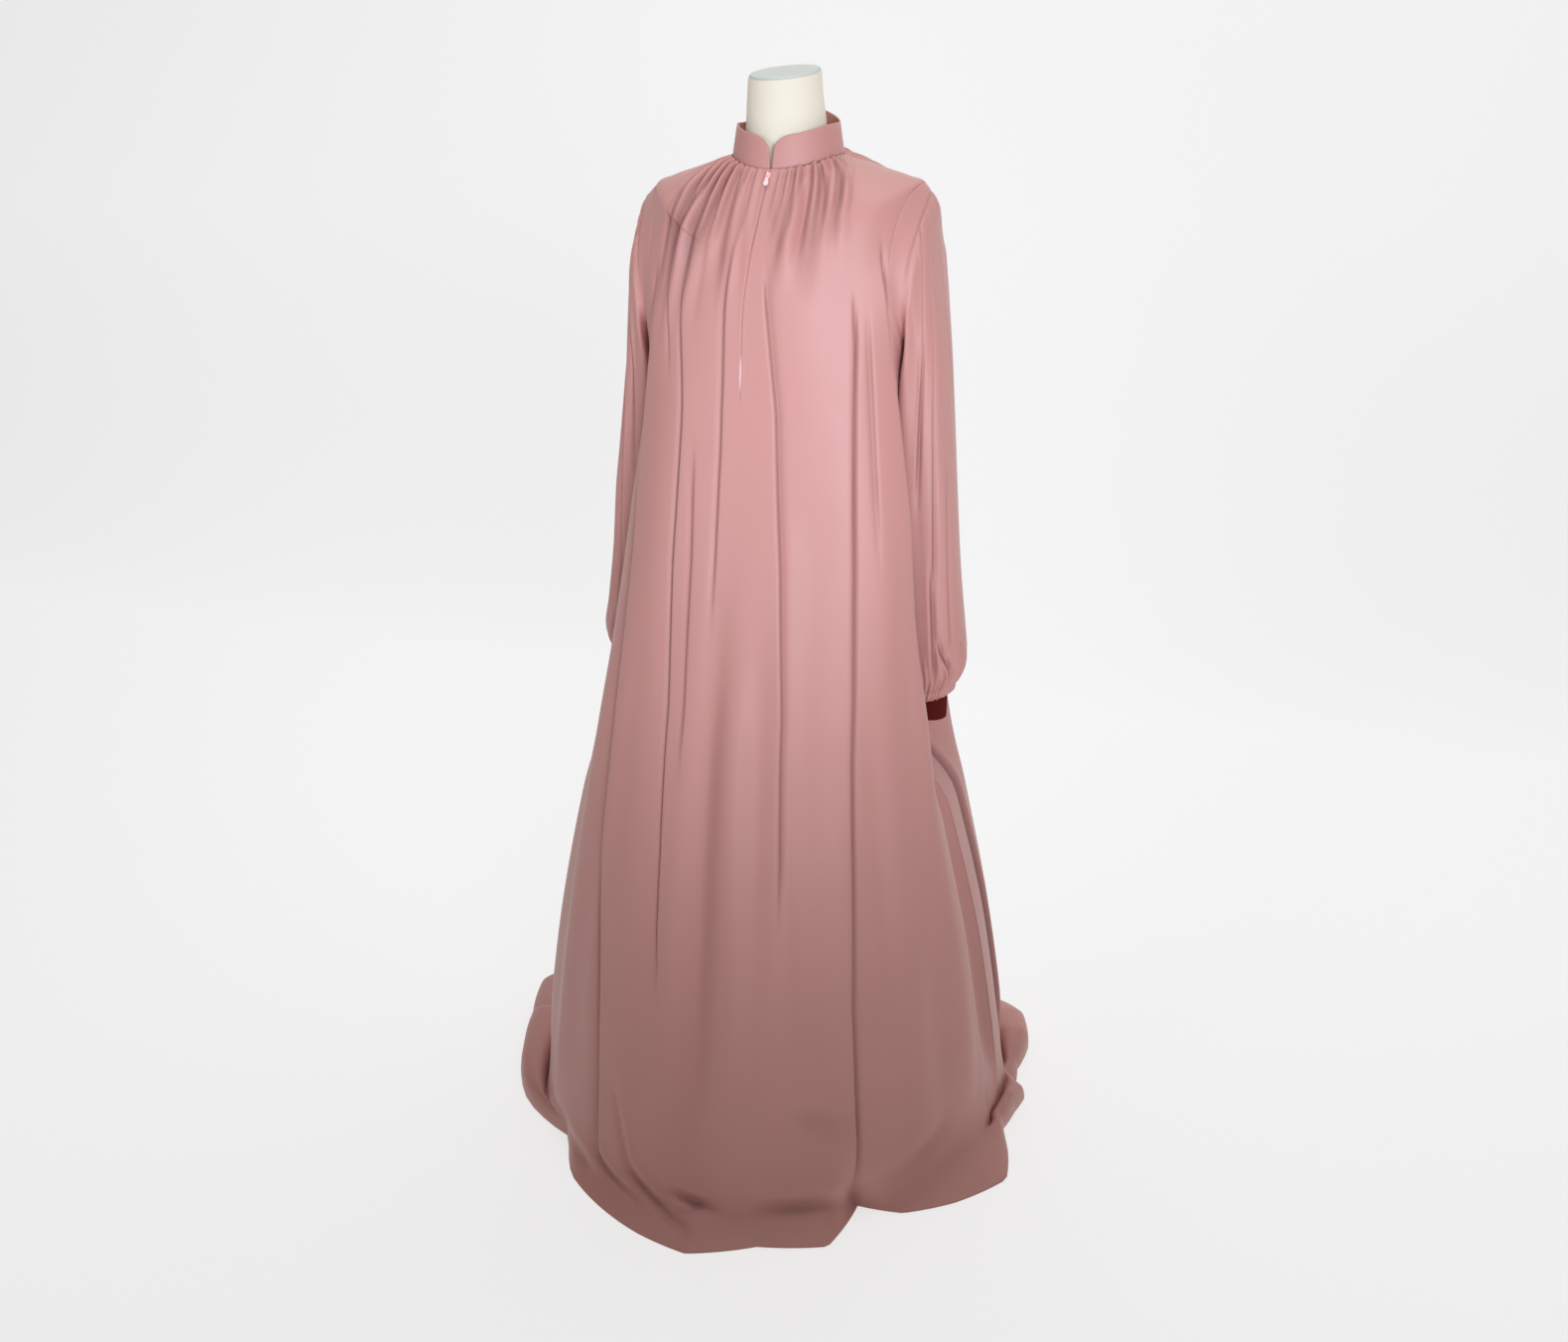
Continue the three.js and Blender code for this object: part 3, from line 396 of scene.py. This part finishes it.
# ---------------------------------------------------------------- creases, folds and gathers
def crease(away, z, row):
    """Height of the cloth, its sideways lean and the painted shade in its dip near one crease."""
    x = away * row["side"]
    length = smooth(z, row["bottom"] - 1, row["bottom"] + 120) * (1 - smooth(z, row["top"] - 90, row["top"]))
    rise = smooth(x, -row["step"], row["step"]) * np.exp(-np.maximum(x - row["step"], 0) / row["reach"])
    dip = bell((x + row["step"]) / (1.3 * row["step"]))
    slow_dip = np.exp(-np.maximum(-x, 0) / row["reach"]) * (x < 0) * 0.4
    height = length * (row["lip"] * rise - row["dip"] * (dip + slow_dip) / 1.4)
    lean = -row["side"] * length * row["lip"] * 0.75 * bell((x - row["step"]) / (2 * row["step"]))
    # painted shade: the cloth's colour darkens in the crease's dip
    painted_shade = length * row["dip"] / 10 * bell((x + 0.5 * row["step"]) / row["step"])
    return height, lean, painted_shade


def relief(phi, place, z, radius, creases, softs, gathers):
    height = np.zeros_like(phi)
    lean = np.zeros_like(phi)
    painted_shade = np.zeros_like(phi)
    for row in creases:
        angles = [row[name] for name in creases.names[:7]]
        line = np.interp(-z, [-h for h in CREASE_HEIGHTS], angles)
        up, aside, crease_shade = crease(np.radians(phi - line) * radius, z, row)
        height += up
        lean += aside
        painted_shade += crease_shade
    for row in softs:
        angles = [row[name] for name in softs.names[:4]]
        line = np.interp(-z, [-h for h in SOFT_HEIGHTS], angles)
        length = (smooth(z, row["bottom"] - 1, row["bottom"] + 160)
                  * (1 - smooth(z, row["top"] - 300, row["top"])))
        height += SOFT_GAIN * row["rise"] * length * bell(np.radians(phi - line) * radius / row["half"])
    for row in gathers:
        t = place / row["end"]
        line = (row["start"] * (1 - t) * (1 - 2 * t) + 4 * row["middle"] * t * (1 - t)
                + row["last"] * t * (2 * t - 1))
        half = row["half"] * (1 + 0.42 * place)
        away = np.radians(phi - line) * radius / half
        length = 1.5 * (0.4 + 0.6 * smooth(place, 0, 0.3)) * (1 - smooth(place, row["end"] * 0.6, row["end"]))
        height += row["rise"] * length * (bell(away) - 0.45 * bell((np.abs(away) - 1.9) / 0.8))
        # painted shade between the gathers' ridges
        painted_shade += max(row["rise"], 0) / 11 * length * bell((away + 1.7) / 0.8)
    return height, lean, painted_shade


def buckles(grid, rows):
    """Short dents and bent creases where the cloth folds up against the floor."""
    height = np.zeros(grid.shape[:2])
    if rows is None:
        return height
    low = grid[..., 2] < 320
    points = grid[low]
    added = np.zeros(len(points))
    for row in rows:
        t = np.linspace(0, 1, 28)
        line = body(row["phi_a"] + (row["phi_b"] - row["phi_a"]) * t + row["bow"] * np.sin(np.pi * t),
                    row["place_a"] + (row["place_b"] - row["place_a"]) * t)
        gaps = np.linalg.norm(points[:, None, :] - line[None, :, :], axis=-1)
        nearest = gaps.argmin(axis=1)
        away = gaps[np.arange(len(points)), nearest]
        tangent = unit(np.gradient(line, axis=0))[nearest]
        outward = unit(line * [1, 1, 0])[nearest]
        side = unit(np.cross(outward, tangent))
        aside = np.sum((points - line[nearest]) * side, axis=-1)
        strength = 0.35 + 0.65 * np.sin(np.pi * t[nearest])
        added -= row["depth"] * strength * bell(away / row["half"])
        lip = bell((aside - 2.0 * row["half"]) / (1.3 * row["half"])) * bell(away / (4 * row["half"]))
        added += row["lip"] * strength * lip
    height[low] = added
    return height


# ---------------------------------------------------------------- body panels
PANEL_PLACES = np.concatenate([
    np.linspace(0, 3, 56)[:-1], np.linspace(3, 5, 30)[:-1], np.linspace(5, 9, 34)[:-1],
    np.linspace(9, 11, 26)[:-1], np.linspace(11, 13, 34)[:-1], np.linspace(13, HEM, 28)])


def middle_phi(place):
    return -3 * np.minimum(place, 5) / 5


def columns_between(lines, counts):
    """Columns of a panel: evenly spread below the neck, and crowded along the creases lower down."""
    low = smooth(PANEL_PLACES, 2.2, 4.0)
    shares = np.linspace(0, 1, len(lines))
    lines = [line * low + (lines[0] * (1 - share) + lines[-1] * share) * (1 - low)
             for line, share in zip(lines, shares)]
    columns = []
    for begin, end in zip(lines[:-1], lines[1:]):
        gap = np.maximum(end - begin, 0.4)
        for even, crowded in zip(np.linspace(0, 1, counts + 1)[:-1], clustered(counts, 0.72)[:-1]):
            columns.append(begin + gap * (even * (1 - low) + crowded * low))
    return columns + [lines[-1]]


def slit_edges(place):
    """The zip slit's two edges: closed down to where its tape gapes open near the end."""
    gape = np.sin(np.pi * np.clip((place - GAPE_START) / (ZIP_END - GAPE_START), 0, 1))
    half = SLIT_HALF + GAPE_HALF * gape
    turn = np.degrees(half / -SECTIONS.along("front", np.minimum(place, FLOOR_BREAK)))
    return middle_phi(place) - turn, middle_phi(place) + turn


def panel(name, middle, creases, softs, gathers, dents, counts, slit=False):
    place = PANEL_PLACES
    edge = edge_turn(place)
    lines = [path_at(CREASE_HEIGHTS, [row[n] for n in creases.names[:7]], place) for row in creases]
    lines = [middle - 90 + edge, *sorted(lines, key=np.mean), middle + 90 - edge]
    slit_column = None
    if slit:
        left, right = slit_edges(place)
        before = columns_between([line for line in lines if np.mean(line) < -4] + [left], counts)
        after = columns_between([right] + [line for line in lines if np.mean(line) > -4], counts)
        slit_column = len(before) - 1
        columns = before + after
    else:
        columns = columns_between(lines, counts)
    phi = np.stack(columns, 1)
    place = np.repeat(place[:, None], phi.shape[1], 1)
    grid = eased_armholes(body(phi, place))
    out, along = frames(grid)
    radius = np.hypot(grid[..., 0], grid[..., 1])
    height, lean, painted_shade = relief(phi, place, grid[..., 2], radius, creases, softs, gathers)
    on_floor = smooth(place, 12, 13.2)
    height *= 1 - 0.75 * on_floor
    lean *= 1 - on_floor
    sewn = np.minimum(np.arange(phi.shape[1]), np.arange(phi.shape[1])[::-1])
    height *= smooth(sewn, -1, 7)[None, :]
    height -= SEAM_DIP * bell(sewn / 1.5)[None, :]
    if slit:
        from_slit = np.radians(phi - middle_phi(place)) * radius
        rolled = bell((np.abs(from_slit) - 2.4) / 1.3) - 0.6 * bell(from_slit / 1.1)
        height += 0.35 * rolled * (1 - smooth(place, ZIP_END - 0.1, ZIP_END + 0.2))
    dented = buckles(grid, dents)
    height += dented
    # painted shade in the dents near the floor
    painted_shade += np.maximum(-dented, 0) / 34
    grid = grid + out * height[..., None] + along * lean[..., None]
    floor_weight = smooth(PANEL_PLACES, 11, 12.5) * (1 - smooth(PANEL_PLACES, 14.5, 14.9))
    grid = relaxed(grid, floor_weight, 3)
    grid[..., 2] = np.maximum(grid[..., 2], CLOTH + 0.1)

    def keep(i, j):
        return i != slit_column or PANEL_PLACES[j] >= ZIP_END

    faces = grid_faces(*phi.shape, keep=keep)
    piece = add_mesh(name, grid, faces, "cloth", CLOTH, painted_shade)
    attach(piece, "gown")
    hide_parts(name)
    return piece


def zip_tape():
    """The woven tape just behind the slit, which shows where the slit gapes."""
    place, aside = np.meshgrid(np.linspace(TAPE_START, TAPE_END, 110), np.linspace(-TAPE_HALF, TAPE_HALF, 13),
                               indexing="ij")
    phi = middle_phi(place) + np.degrees(aside / -SECTIONS.along("front", place))
    grid = body(phi, place)
    out, _ = frames(grid)
    radius = np.hypot(grid[..., 0], grid[..., 1])
    height, _, _ = relief(phi, place, grid[..., 2], radius, FRONT_CREASES, FRONT_SOFT, FRONT_GATHERS)
    coil = 0.35 * bell(aside / 1.2)
    grid = grid + out * (height + coil - CLOTH - TAPE_BEHIND)[..., None]
    piece = add_mesh("zip_tape_weave", grid, grid_faces(*place.shape), "zip", TAPE_THICK)
    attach(piece, "gown")
    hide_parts("zip_tape")
    return piece


# ---------------------------------------------------------------- collar
def collar_surface(phi, share):
    base = body(phi, np.zeros_like(phi), plain=True)
    along = np.abs(wrap(phi)) * math.pi / 180 * SECTIONS.width[0] - COLLAR_NOTCH
    t = np.clip(along / COLLAR_CORNER, 0, 1)
    height = COLLAR_CORNER_START + (COLLAR_HEIGHT - COLLAR_CORNER_START) * np.sqrt(1 - (1 - t)**2)
    height = height * share
    inward = unit(np.stack([SECTIONS.cx[0] - base[..., 0], SECTIONS.cy[0] - base[..., 1],
                            np.zeros_like(phi)], -1))
    point = base + inward * (COLLAR_LEAN * height / COLLAR_HEIGHT)[..., None]
    point[..., 2] += SEAM_GAP + height
    return point


def collar():
    columns, rows = 181, 25
    t = np.linspace(0, 1, columns)
    t = t - 0.06 * np.sin(2 * np.pi * t)
    share = np.linspace(1, 0, rows)
    start = np.degrees((COLLAR_NOTCH + (COLLAR_NOTCH_TOP - COLLAR_NOTCH) * share) / -SECTIONS.front[0])
    phi = start[:, None] + (360 - 2 * start[:, None]) * t[None, :]
    grid = collar_surface(phi, np.repeat(share[:, None], columns, 1))
    out, _ = frames(grid)
    wave = 0.5 * np.sin(np.radians(phi * 3 + 40)) + 0.35 * np.sin(np.radians(phi * 7))
    height = wave * share[:, None] - 0.5 * bell(share * 12)[:, None] - 0.35 * bell((share - 1) * 10)[:, None]
    grid = grid + out * height[..., None]
    piece = add_mesh("collar_cloth", grid, grid_faces(rows, columns), "cloth", COLLAR_THICK)
    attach(piece, "gown")
    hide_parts("collar")
    return piece


# ---------------------------------------------------------------- sleeves and cuffs
def sleeve_surface(side, turn, place):
    sin, cos = np.sin(np.radians(turn)), np.cos(np.radians(turn))
    row = {name: SLEEVE.along(name, np.maximum(place - 1, 0)) for name in SLEEVE.names}
    out = row["right_out"] if side < 0 else 0
    fullness = 0.12 + 0.28 * bell((place - 4) / 2.2)
    fuller = np.where((cos < 0) & (sin > 0), fullness * np.sin(np.radians(2 * turn))**2, 0)
    middle_x, half_x = (row["out_x"] + row["in_x"]) / 2, (row["out_x"] - row["in_x"]) / 2
    ring = np.stack([
        side * (middle_x + out + half_x * cos * (1 + fuller)),
        row["y"] - row["half_y"] * sin * (1 + fuller),
        (row["out_z"] + row["in_z"]) / 2 + (row["out_z"] - row["in_z"]) / 2 * cos], -1)
    gap = SEAM_GAP / (ARMHOLE_SPREAD * 3)
    inside = (1 - gap) * (1 - 0.5 * np.clip(place, 0, 1))
    phi = side * (90 - ARMHOLE_SPREAD * inside * sin)
    seam = body(phi, ARMHOLE_MIDDLE - ARMHOLE_HALF * inside * cos)
    seam[..., 0] += side * SEAM_GAP
    t = smooth(place, 0, 1)[..., None]
    return np.where(place[..., None] >= 1, ring, seam * (1 - t) + ring * t)


def sleeve(name, side):
    columns = 168
    places = np.concatenate([np.linspace(0, 1.5, 26)[:-1], np.linspace(1.5, 8.5, 70)[:-1],
                             np.linspace(8.5, SLEEVE_END, 40)])
    turn = np.arange(columns) * 360 / columns
    turn, place = np.meshgrid(turn, places)
    grid = eased_armholes(sleeve_surface(side, turn, place))
    grid = relaxed(grid, smooth(places, 0, 0.3) * (1 - smooth(places, 1.5, 3)), 40)
    grid = relaxed(grid, smooth(places, 6, 7) * (1 - smooth(places, 9.4, 9.7)), 6)
    out, _ = frames(grid, ring=True)
    out = out * -side
    middle = grid.mean(axis=1, keepdims=True)
    arm = np.linalg.norm(grid - middle, axis=-1)
    height = np.zeros_like(turn)
    painted_shade = np.zeros_like(turn)
    for row in SLEEVE_CREASES:
        share = np.clip((place - row["begin"]) / (row["end"] - row["begin"]), 0, 1)
        line = row["turn_top"] + (row["turn_end"] - row["turn_top"]) * share
        line = line + (RIGHT_SLEEVE_TURN if side < 0 else 0)
        away = np.radians(wrap(turn - line)) * arm
        fade = (smooth(place, row["begin"], row["begin"] + 0.8)
                * (1 - smooth(place, row["end"] - 0.8, row["end"])))
        x = away * row["side"]
        height += fade * (row["lip"] * smooth(x, -4, 4) * np.exp(-np.maximum(x - 4, 0) / 16)
                          - row["dip"] * bell((x + 4) / 4.5))
        # painted shade in the sleeve's creases
        painted_shade += fade * row["dip"] / 7 * bell((x + 2) / 3)
    seam_line = np.interp(wrap(turn), [-60, -14, 24, 48, 80, 110], [0.0, 0.3, 0.68, 0.74, 0.66, 0.5])
    sewn = smooth(wrap(turn), -40, -14) * (1 - smooth(wrap(turn), 76, 100))
    head = -1.3 * sewn * bell((place - seam_line) / 0.045)
    # painted shade along the groove of the sleeve-head seam
    painted_shade += 0.35 * sewn * bell((place - seam_line) / 0.04)
    for angle in np.arange(-40, 70, 8.0):
        angle = angle + rng.uniform(-2.5, 2.5)
        end = rng.uniform(1.3, 2.6)
        ridge = bell(wrap(turn - angle) / 3.0) - 0.5 * bell((np.abs(wrap(turn - angle)) - 5) / 2.2)
        fade = smooth(place - seam_line, 0, 0.15) * (1 - smooth(place, end * 0.5, end))
        head += rng.uniform(0.5, 1.3) * ridge * fade
    puckers = np.zeros_like(turn)
    angle = 0.0
    while angle < 352:
        width = rng.uniform(3.2, 5.4)
        begin = rng.uniform(7.6, 9.3)
        off = wrap(turn - angle)
        ridge = bell(off / width) - 0.45 * bell((np.abs(off) - 1.8 * width) / width)
        puckers += rng.uniform(1.6, 3.4) * ridge * smooth(place, begin, begin + 0.9)
        angle += width * rng.uniform(2.3, 3.2)
    casing = 2.0 * bell((place - 9.86) / 0.1) - 1.4 * bell((place - 9.68) / 0.06)
    height += head + puckers * (1 - 0.55 * smooth(place, 9.7, 10)) + casing
    grid = grid + out * height[..., None]
    faces = grid_faces(len(places), columns, ring=True)
    if side > 0:
        faces = [face[::-1] for face in faces]
    piece = add_mesh(f"{name}_cloth", grid, faces, "cloth", CLOTH, painted_shade)
    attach(piece, "gown")
    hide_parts(name)
    return piece


def cuff(name, side):
    columns, rows = CUFF_RIBS * 8, 18
    out = SLEEVE.right_out[-1] if side < 0 else 0
    turn, share = np.meshgrid(np.arange(columns) * 2 * np.pi / columns, np.linspace(0, 1, rows))
    rib = 0.35 * np.cos(turn * CUFF_RIBS)
    shaping = 0.8 * np.sin(share * np.pi) * np.sin(2 * turn + 1)
    radius = CUFF_RADIUS - 0.4 + rib + shaping * 0.6
    grid = np.stack([side * (CUFF_X + out) + radius * np.cos(turn), radius * np.sin(turn),
                     CUFF_TOP + (CUFF_BOTTOM - CUFF_TOP) * share], -1)
    # the cuff's dark colour, set in its material, is painted shade
    piece = add_mesh(f"{name}_knit", grid, grid_faces(rows, columns, ring=True), "cuff", KNIT)
    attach(piece, "gown")
    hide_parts(name)
    return piece


# ---------------------------------------------------------------- dress form
def form_torso():
    sides = 128
    phi = np.arange(sides) * 360 / sides
    rings = []
    places = np.concatenate([np.linspace(6.55, 3, 40), np.linspace(2.93, 0.15, 40)])
    shares = np.interp(-places, -FORM_TORSO.place, FORM_TORSO.share)
    for place, share in zip(places, shares):
        ring = body(phi, np.full(sides, place), plain=True)
        step = body(phi, np.full(sides, place + 0.01), plain=True) - ring
        across = body(phi + 0.5, np.full(sides, place), plain=True) - ring
        normal = unit(np.cross(step, across))
        ring = ring - normal * (4.2 + 5 * np.cos(np.radians(phi))**2)[:, None]
        centre = np.array([SECTIONS.along("cx", np.array(place)), SECTIONS.along("cy", np.array(place))])
        ring[:, :2] = centre + (ring[:, :2] - centre) * share
        rings.append(ring)
    for z in np.linspace(1440, 1490, 10):
        radius, y = np.interp(z, FORM_NECK.z, FORM_NECK.radius), np.interp(z, FORM_NECK.z, FORM_NECK.y)
        rings.append(np.stack([radius * np.sin(np.radians(phi)), y - radius * np.cos(np.radians(phi)),
                               np.full(sides, z)], -1))
    for t, inset in ((0.6, 0), (0.98, 0), (1.0, 0), (1.0, 0.5)):
        radius, y = 50.5 - 2 * t - inset, 6 - 2 * t
        ring = np.stack([radius * np.sin(np.radians(phi)), y - radius * np.cos(np.radians(phi)),
                         np.zeros(sides)], -1)
        rim = 1520 + 0.037 * ring[:, 0] + 0.1975 * ring[:, 1] - 3.3
        ring[:, 2] = 1490 * (1 - t) + rim * t
        rings.append(ring)
    grid = np.array(rings)
    faces = grid_faces(len(rings), sides, ring=True)
    faces = [face[::-1] for face in faces]
    last = (len(rings) - 1) * sides
    faces.append(tuple(range(sides))[::-1])
    faces.append(tuple(last + i for i in range(sides)))
    piece = add_mesh("form_torso_jersey", grid, faces, "jersey")
    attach(piece, "gown")
    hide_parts("form_torso")
    return piece


# ---------------------------------------------------------------- materials
def linear(r, g, b):
    return [c / 255 / 12.92 if c < 10 else ((c / 255 + 0.055) / 1.055)**2.4 for c in (r, g, b)] + [1.0]


def material(name, colour, roughness, sheen=0.0, shine=0.5, metallic=0.0, weave=900.0, depth=0.02, vary=0.06,
             broad=3.0, painted_shade_colour=None):
    """A finish with a fine woven or cast grain, slight unevenness of colour and shine, sheen, and, where a
    shade colour is given, painted shade that darkens the colour in creases.
    """
    mat = bpy.data.materials.new(name)
    mat.use_nodes = True
    tree = mat.node_tree
    shader = tree.nodes["Principled BSDF"]
    shader.inputs["Metallic"].default_value = metallic
    shader.inputs["Sheen Weight"].default_value = sheen
    shader.inputs["Sheen Roughness"].default_value = 0.4
    shader.inputs["Specular IOR Level"].default_value = shine
    place = tree.nodes.new("ShaderNodeTexCoord")

    def noise(scale, detail):
        node = tree.nodes.new("ShaderNodeTexNoise")
        node.inputs["Scale"].default_value = scale
        node.inputs["Detail"].default_value = detail
        tree.links.new(place.outputs["Object"], node.inputs["Vector"])
        return node.outputs["Fac"]

    def ranged(value, low, high):
        node = tree.nodes.new("ShaderNodeMapRange")
        node.inputs["To Min"].default_value = low
        node.inputs["To Max"].default_value = high
        tree.links.new(value, node.inputs["Value"])
        return node.outputs["Result"]

    tone = tree.nodes.new("ShaderNodeMixRGB")
    tone.inputs["Color1"].default_value = [c * (1 - vary) for c in colour[:3]] + [1.0]
    tone.inputs["Color2"].default_value = [min(1, c * (1 + vary)) for c in colour[:3]] + [1.0]
    tree.links.new(noise(broad, 3), tone.inputs["Fac"])
    shown = tone.outputs["Color"]
    # painted shade: the colour is mixed towards the darker shade colour by the mesh's painted-shade attribute
    if painted_shade_colour:
        shade_amounts = tree.nodes.new("ShaderNodeAttribute")
        shade_amounts.attribute_name = PAINTED_SHADE_ATTRIBUTE
        shade_mix = tree.nodes.new("ShaderNodeMixRGB")
        shade_mix.inputs["Color2"].default_value = painted_shade_colour
        tree.links.new(shade_amounts.outputs["Fac"], shade_mix.inputs["Fac"])
        tree.links.new(shown, shade_mix.inputs["Color1"])
        shown = shade_mix.outputs["Color"]
    tree.links.new(shown, shader.inputs["Base Color"])
    gloss = ranged(noise(broad * 5, 2), roughness - 0.05, roughness + 0.05)
    tree.links.new(gloss, shader.inputs["Roughness"])
    bump = tree.nodes.new("ShaderNodeBump")
    bump.inputs["Strength"].default_value = 0.25
    bump.inputs["Distance"].default_value = depth * MM
    tree.links.new(noise(weave, 2), bump.inputs["Height"])
    tree.links.new(bump.outputs["Normal"], shader.inputs["Normal"])
    return mat


MATERIALS = {
    # the cloth's second colour is painted shade, laid into its creases, dents and gathers
    "cloth": material("satin_crepe", linear(190, 131, 123), 0.6, sheen=0.12, shine=0.85, weave=1500,
                      depth=0.15, painted_shade_colour=linear(118, 66, 60)),
    # the cuffs' dark maroon is painted shade: the deep shade under the sleeves' gathers, given as the knit's
    # colour
    "cuff": material("rib_knit_painted_shade", linear(84, 18, 13), 0.85, shine=0.15, weave=1200, depth=0.4),
    "zip": material("zip_tape_weave", linear(226, 186, 187), 0.75, weave=1800, depth=0.2),
    "pull": material("enamel_pink", linear(248, 200, 203), 0.25, weave=300, depth=0.02),
    "jersey": material("cream_jersey", linear(230, 221, 200), 0.85, sheen=0.1, weave=1400, depth=0.3),
    "cap": material("grey_cap", linear(196, 200, 192), 0.7, weave=500, depth=0.1),
    "steel": material("satin_steel", linear(176, 178, 180), 0.35, metallic=1.0, weave=200, depth=0.02),
}

# ---------------------------------------------------------------- build
front = panel("front", 0, FRONT_CREASES, FRONT_SOFT, FRONT_GATHERS, FRONT_DENTS, 20, slit=True)
back = panel("back", 180, BACK_CREASES, BACK_SOFT, BACK_GATHERS, BACK_DENTS, 24)
tape = zip_tape()
neck_collar = collar()
sleeves = [sleeve("sleeve_left", 1), sleeve("sleeve_right", -1)]
cuffs = [cuff("cuff_left", 1), cuff("cuff_right", -1)]
form_torso()

for node, slot in {"zip_slider": "pull", "zip_pull": "pull", "form_neck_cap": "cap",
                   "form_pole": "steel", "form_base": "steel"}.items():
    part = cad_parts[node]
    part.data.materials.clear()
    part.data.materials.append(MATERIALS[slot])

# ---------------------------------------------------------------- stage, lights and camera
FLOOR_HALF, WALL_Y, WALL_TOP, BEND = 6.0, 3.0, 5.0, 1.2


def backdrop():
    """A pale floor that bends up into a wall."""
    angles = np.linspace(0, np.pi / 2, 24)
    profile = [(-FLOOR_HALF, 0.0)]
    profile += [(WALL_Y - BEND + BEND * math.sin(a), BEND - BEND * math.cos(a)) for a in angles]
    profile.append((WALL_Y, WALL_TOP))
    points = np.array([[(x, y, z) for x in (-FLOOR_HALF, FLOOR_HALF)] for y, z in profile])
    piece = add_mesh("backdrop", points / MM, grid_faces(len(profile), 2), "cap")
    piece.data.materials.clear()
    paint = material("pale_backdrop", [0.28, 0.28, 0.28, 1], 0.95, weave=20, depth=0.0, vary=0.004)
    paint.node_tree.nodes["Principled BSDF"].inputs["Emission Color"].default_value = (1, 1, 1, 1)
    paint.node_tree.nodes["Principled BSDF"].inputs["Emission Strength"].default_value = 0.69
    piece.data.materials.append(paint)
    return piece


backdrop()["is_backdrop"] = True

CAMERA_DISTANCE, CAMERA_HEIGHT, CAMERA_TURN, CAMERA_PITCH = 2.2, 1.45, 18.0, 19.1
SPOT_ANGLE, SPOT_COLOUR = 50, (0.89, 0.98, 1.13)


def hang(lamp, name, place, target):
    """Puts a lamp at a place and aims it."""
    holder = bpy.data.objects.new(name, lamp)
    holder.location = place
    holder.rotation_euler = (Vector(target) - Vector(place)).to_track_quat("-Z", "Y").to_euler()
    bpy.context.scene.collection.objects.link(holder)


def area_light(name, place, target, size, power, spread=180):
    lamp = bpy.data.lights.new(name, "AREA")
    lamp.shape = "SQUARE"
    lamp.size = size
    lamp.energy = power
    lamp.spread = math.radians(spread)
    hang(lamp, name, place, target)


def spot_light(name, place, target, power, soft):
    lamp = bpy.data.lights.new(name, "SPOT")
    lamp.energy = power
    lamp.spot_size = math.radians(SPOT_ANGLE)
    lamp.spot_blend = 1
    lamp.shadow_soft_size = soft
    lamp.color = SPOT_COLOUR
    hang(lamp, name, place, target)


spot_light("key", (1.1, -1.8, 1.5), (0, 0, 1.09), 165, 0.45)
spot_light("second", (-1.0, -1.85, 1.6), (0, 0, 1.09), 40, 0.35)
area_light("overhead", (0, 0.3, 3.6), (0, 0.3, 0), 3.2, 36)
area_light("wall_wash", (0, 0.6, 3.8), (0, 3.0, 1.0), 3.0, 26)

world = bpy.data.worlds.new("soft_surround")
world.use_nodes = True
world.node_tree.nodes["Background"].inputs["Color"].default_value = (1, 0.93, 0.87, 1)
world.node_tree.nodes["Background"].inputs["Strength"].default_value = 0.16
bpy.context.scene.world = world
bpy.context.scene.view_settings.view_transform = "Standard"

camera = bpy.data.objects.new("camera", bpy.data.cameras.new("camera"))
camera.data.sensor_width = 36
camera.data.lens = 36
turn, pitch = math.radians(CAMERA_TURN), math.radians(CAMERA_PITCH)
camera.location = (CAMERA_DISTANCE * math.sin(turn), -CAMERA_DISTANCE * math.cos(turn), CAMERA_HEIGHT)
camera.rotation_euler = (math.pi / 2 - pitch, 0, turn)
bpy.context.scene.collection.objects.link(camera)
bpy.context.scene.camera = camera

# ---------------------------------------------------------------- bounds of the shown scene
for piece in sleeves:
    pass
for piece in cuffs:
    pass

shown_low, shown_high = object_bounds()
({"packed": [list(packed_low), list(packed_high)],
           "shown": [list(shown_low), list(shown_high)]})
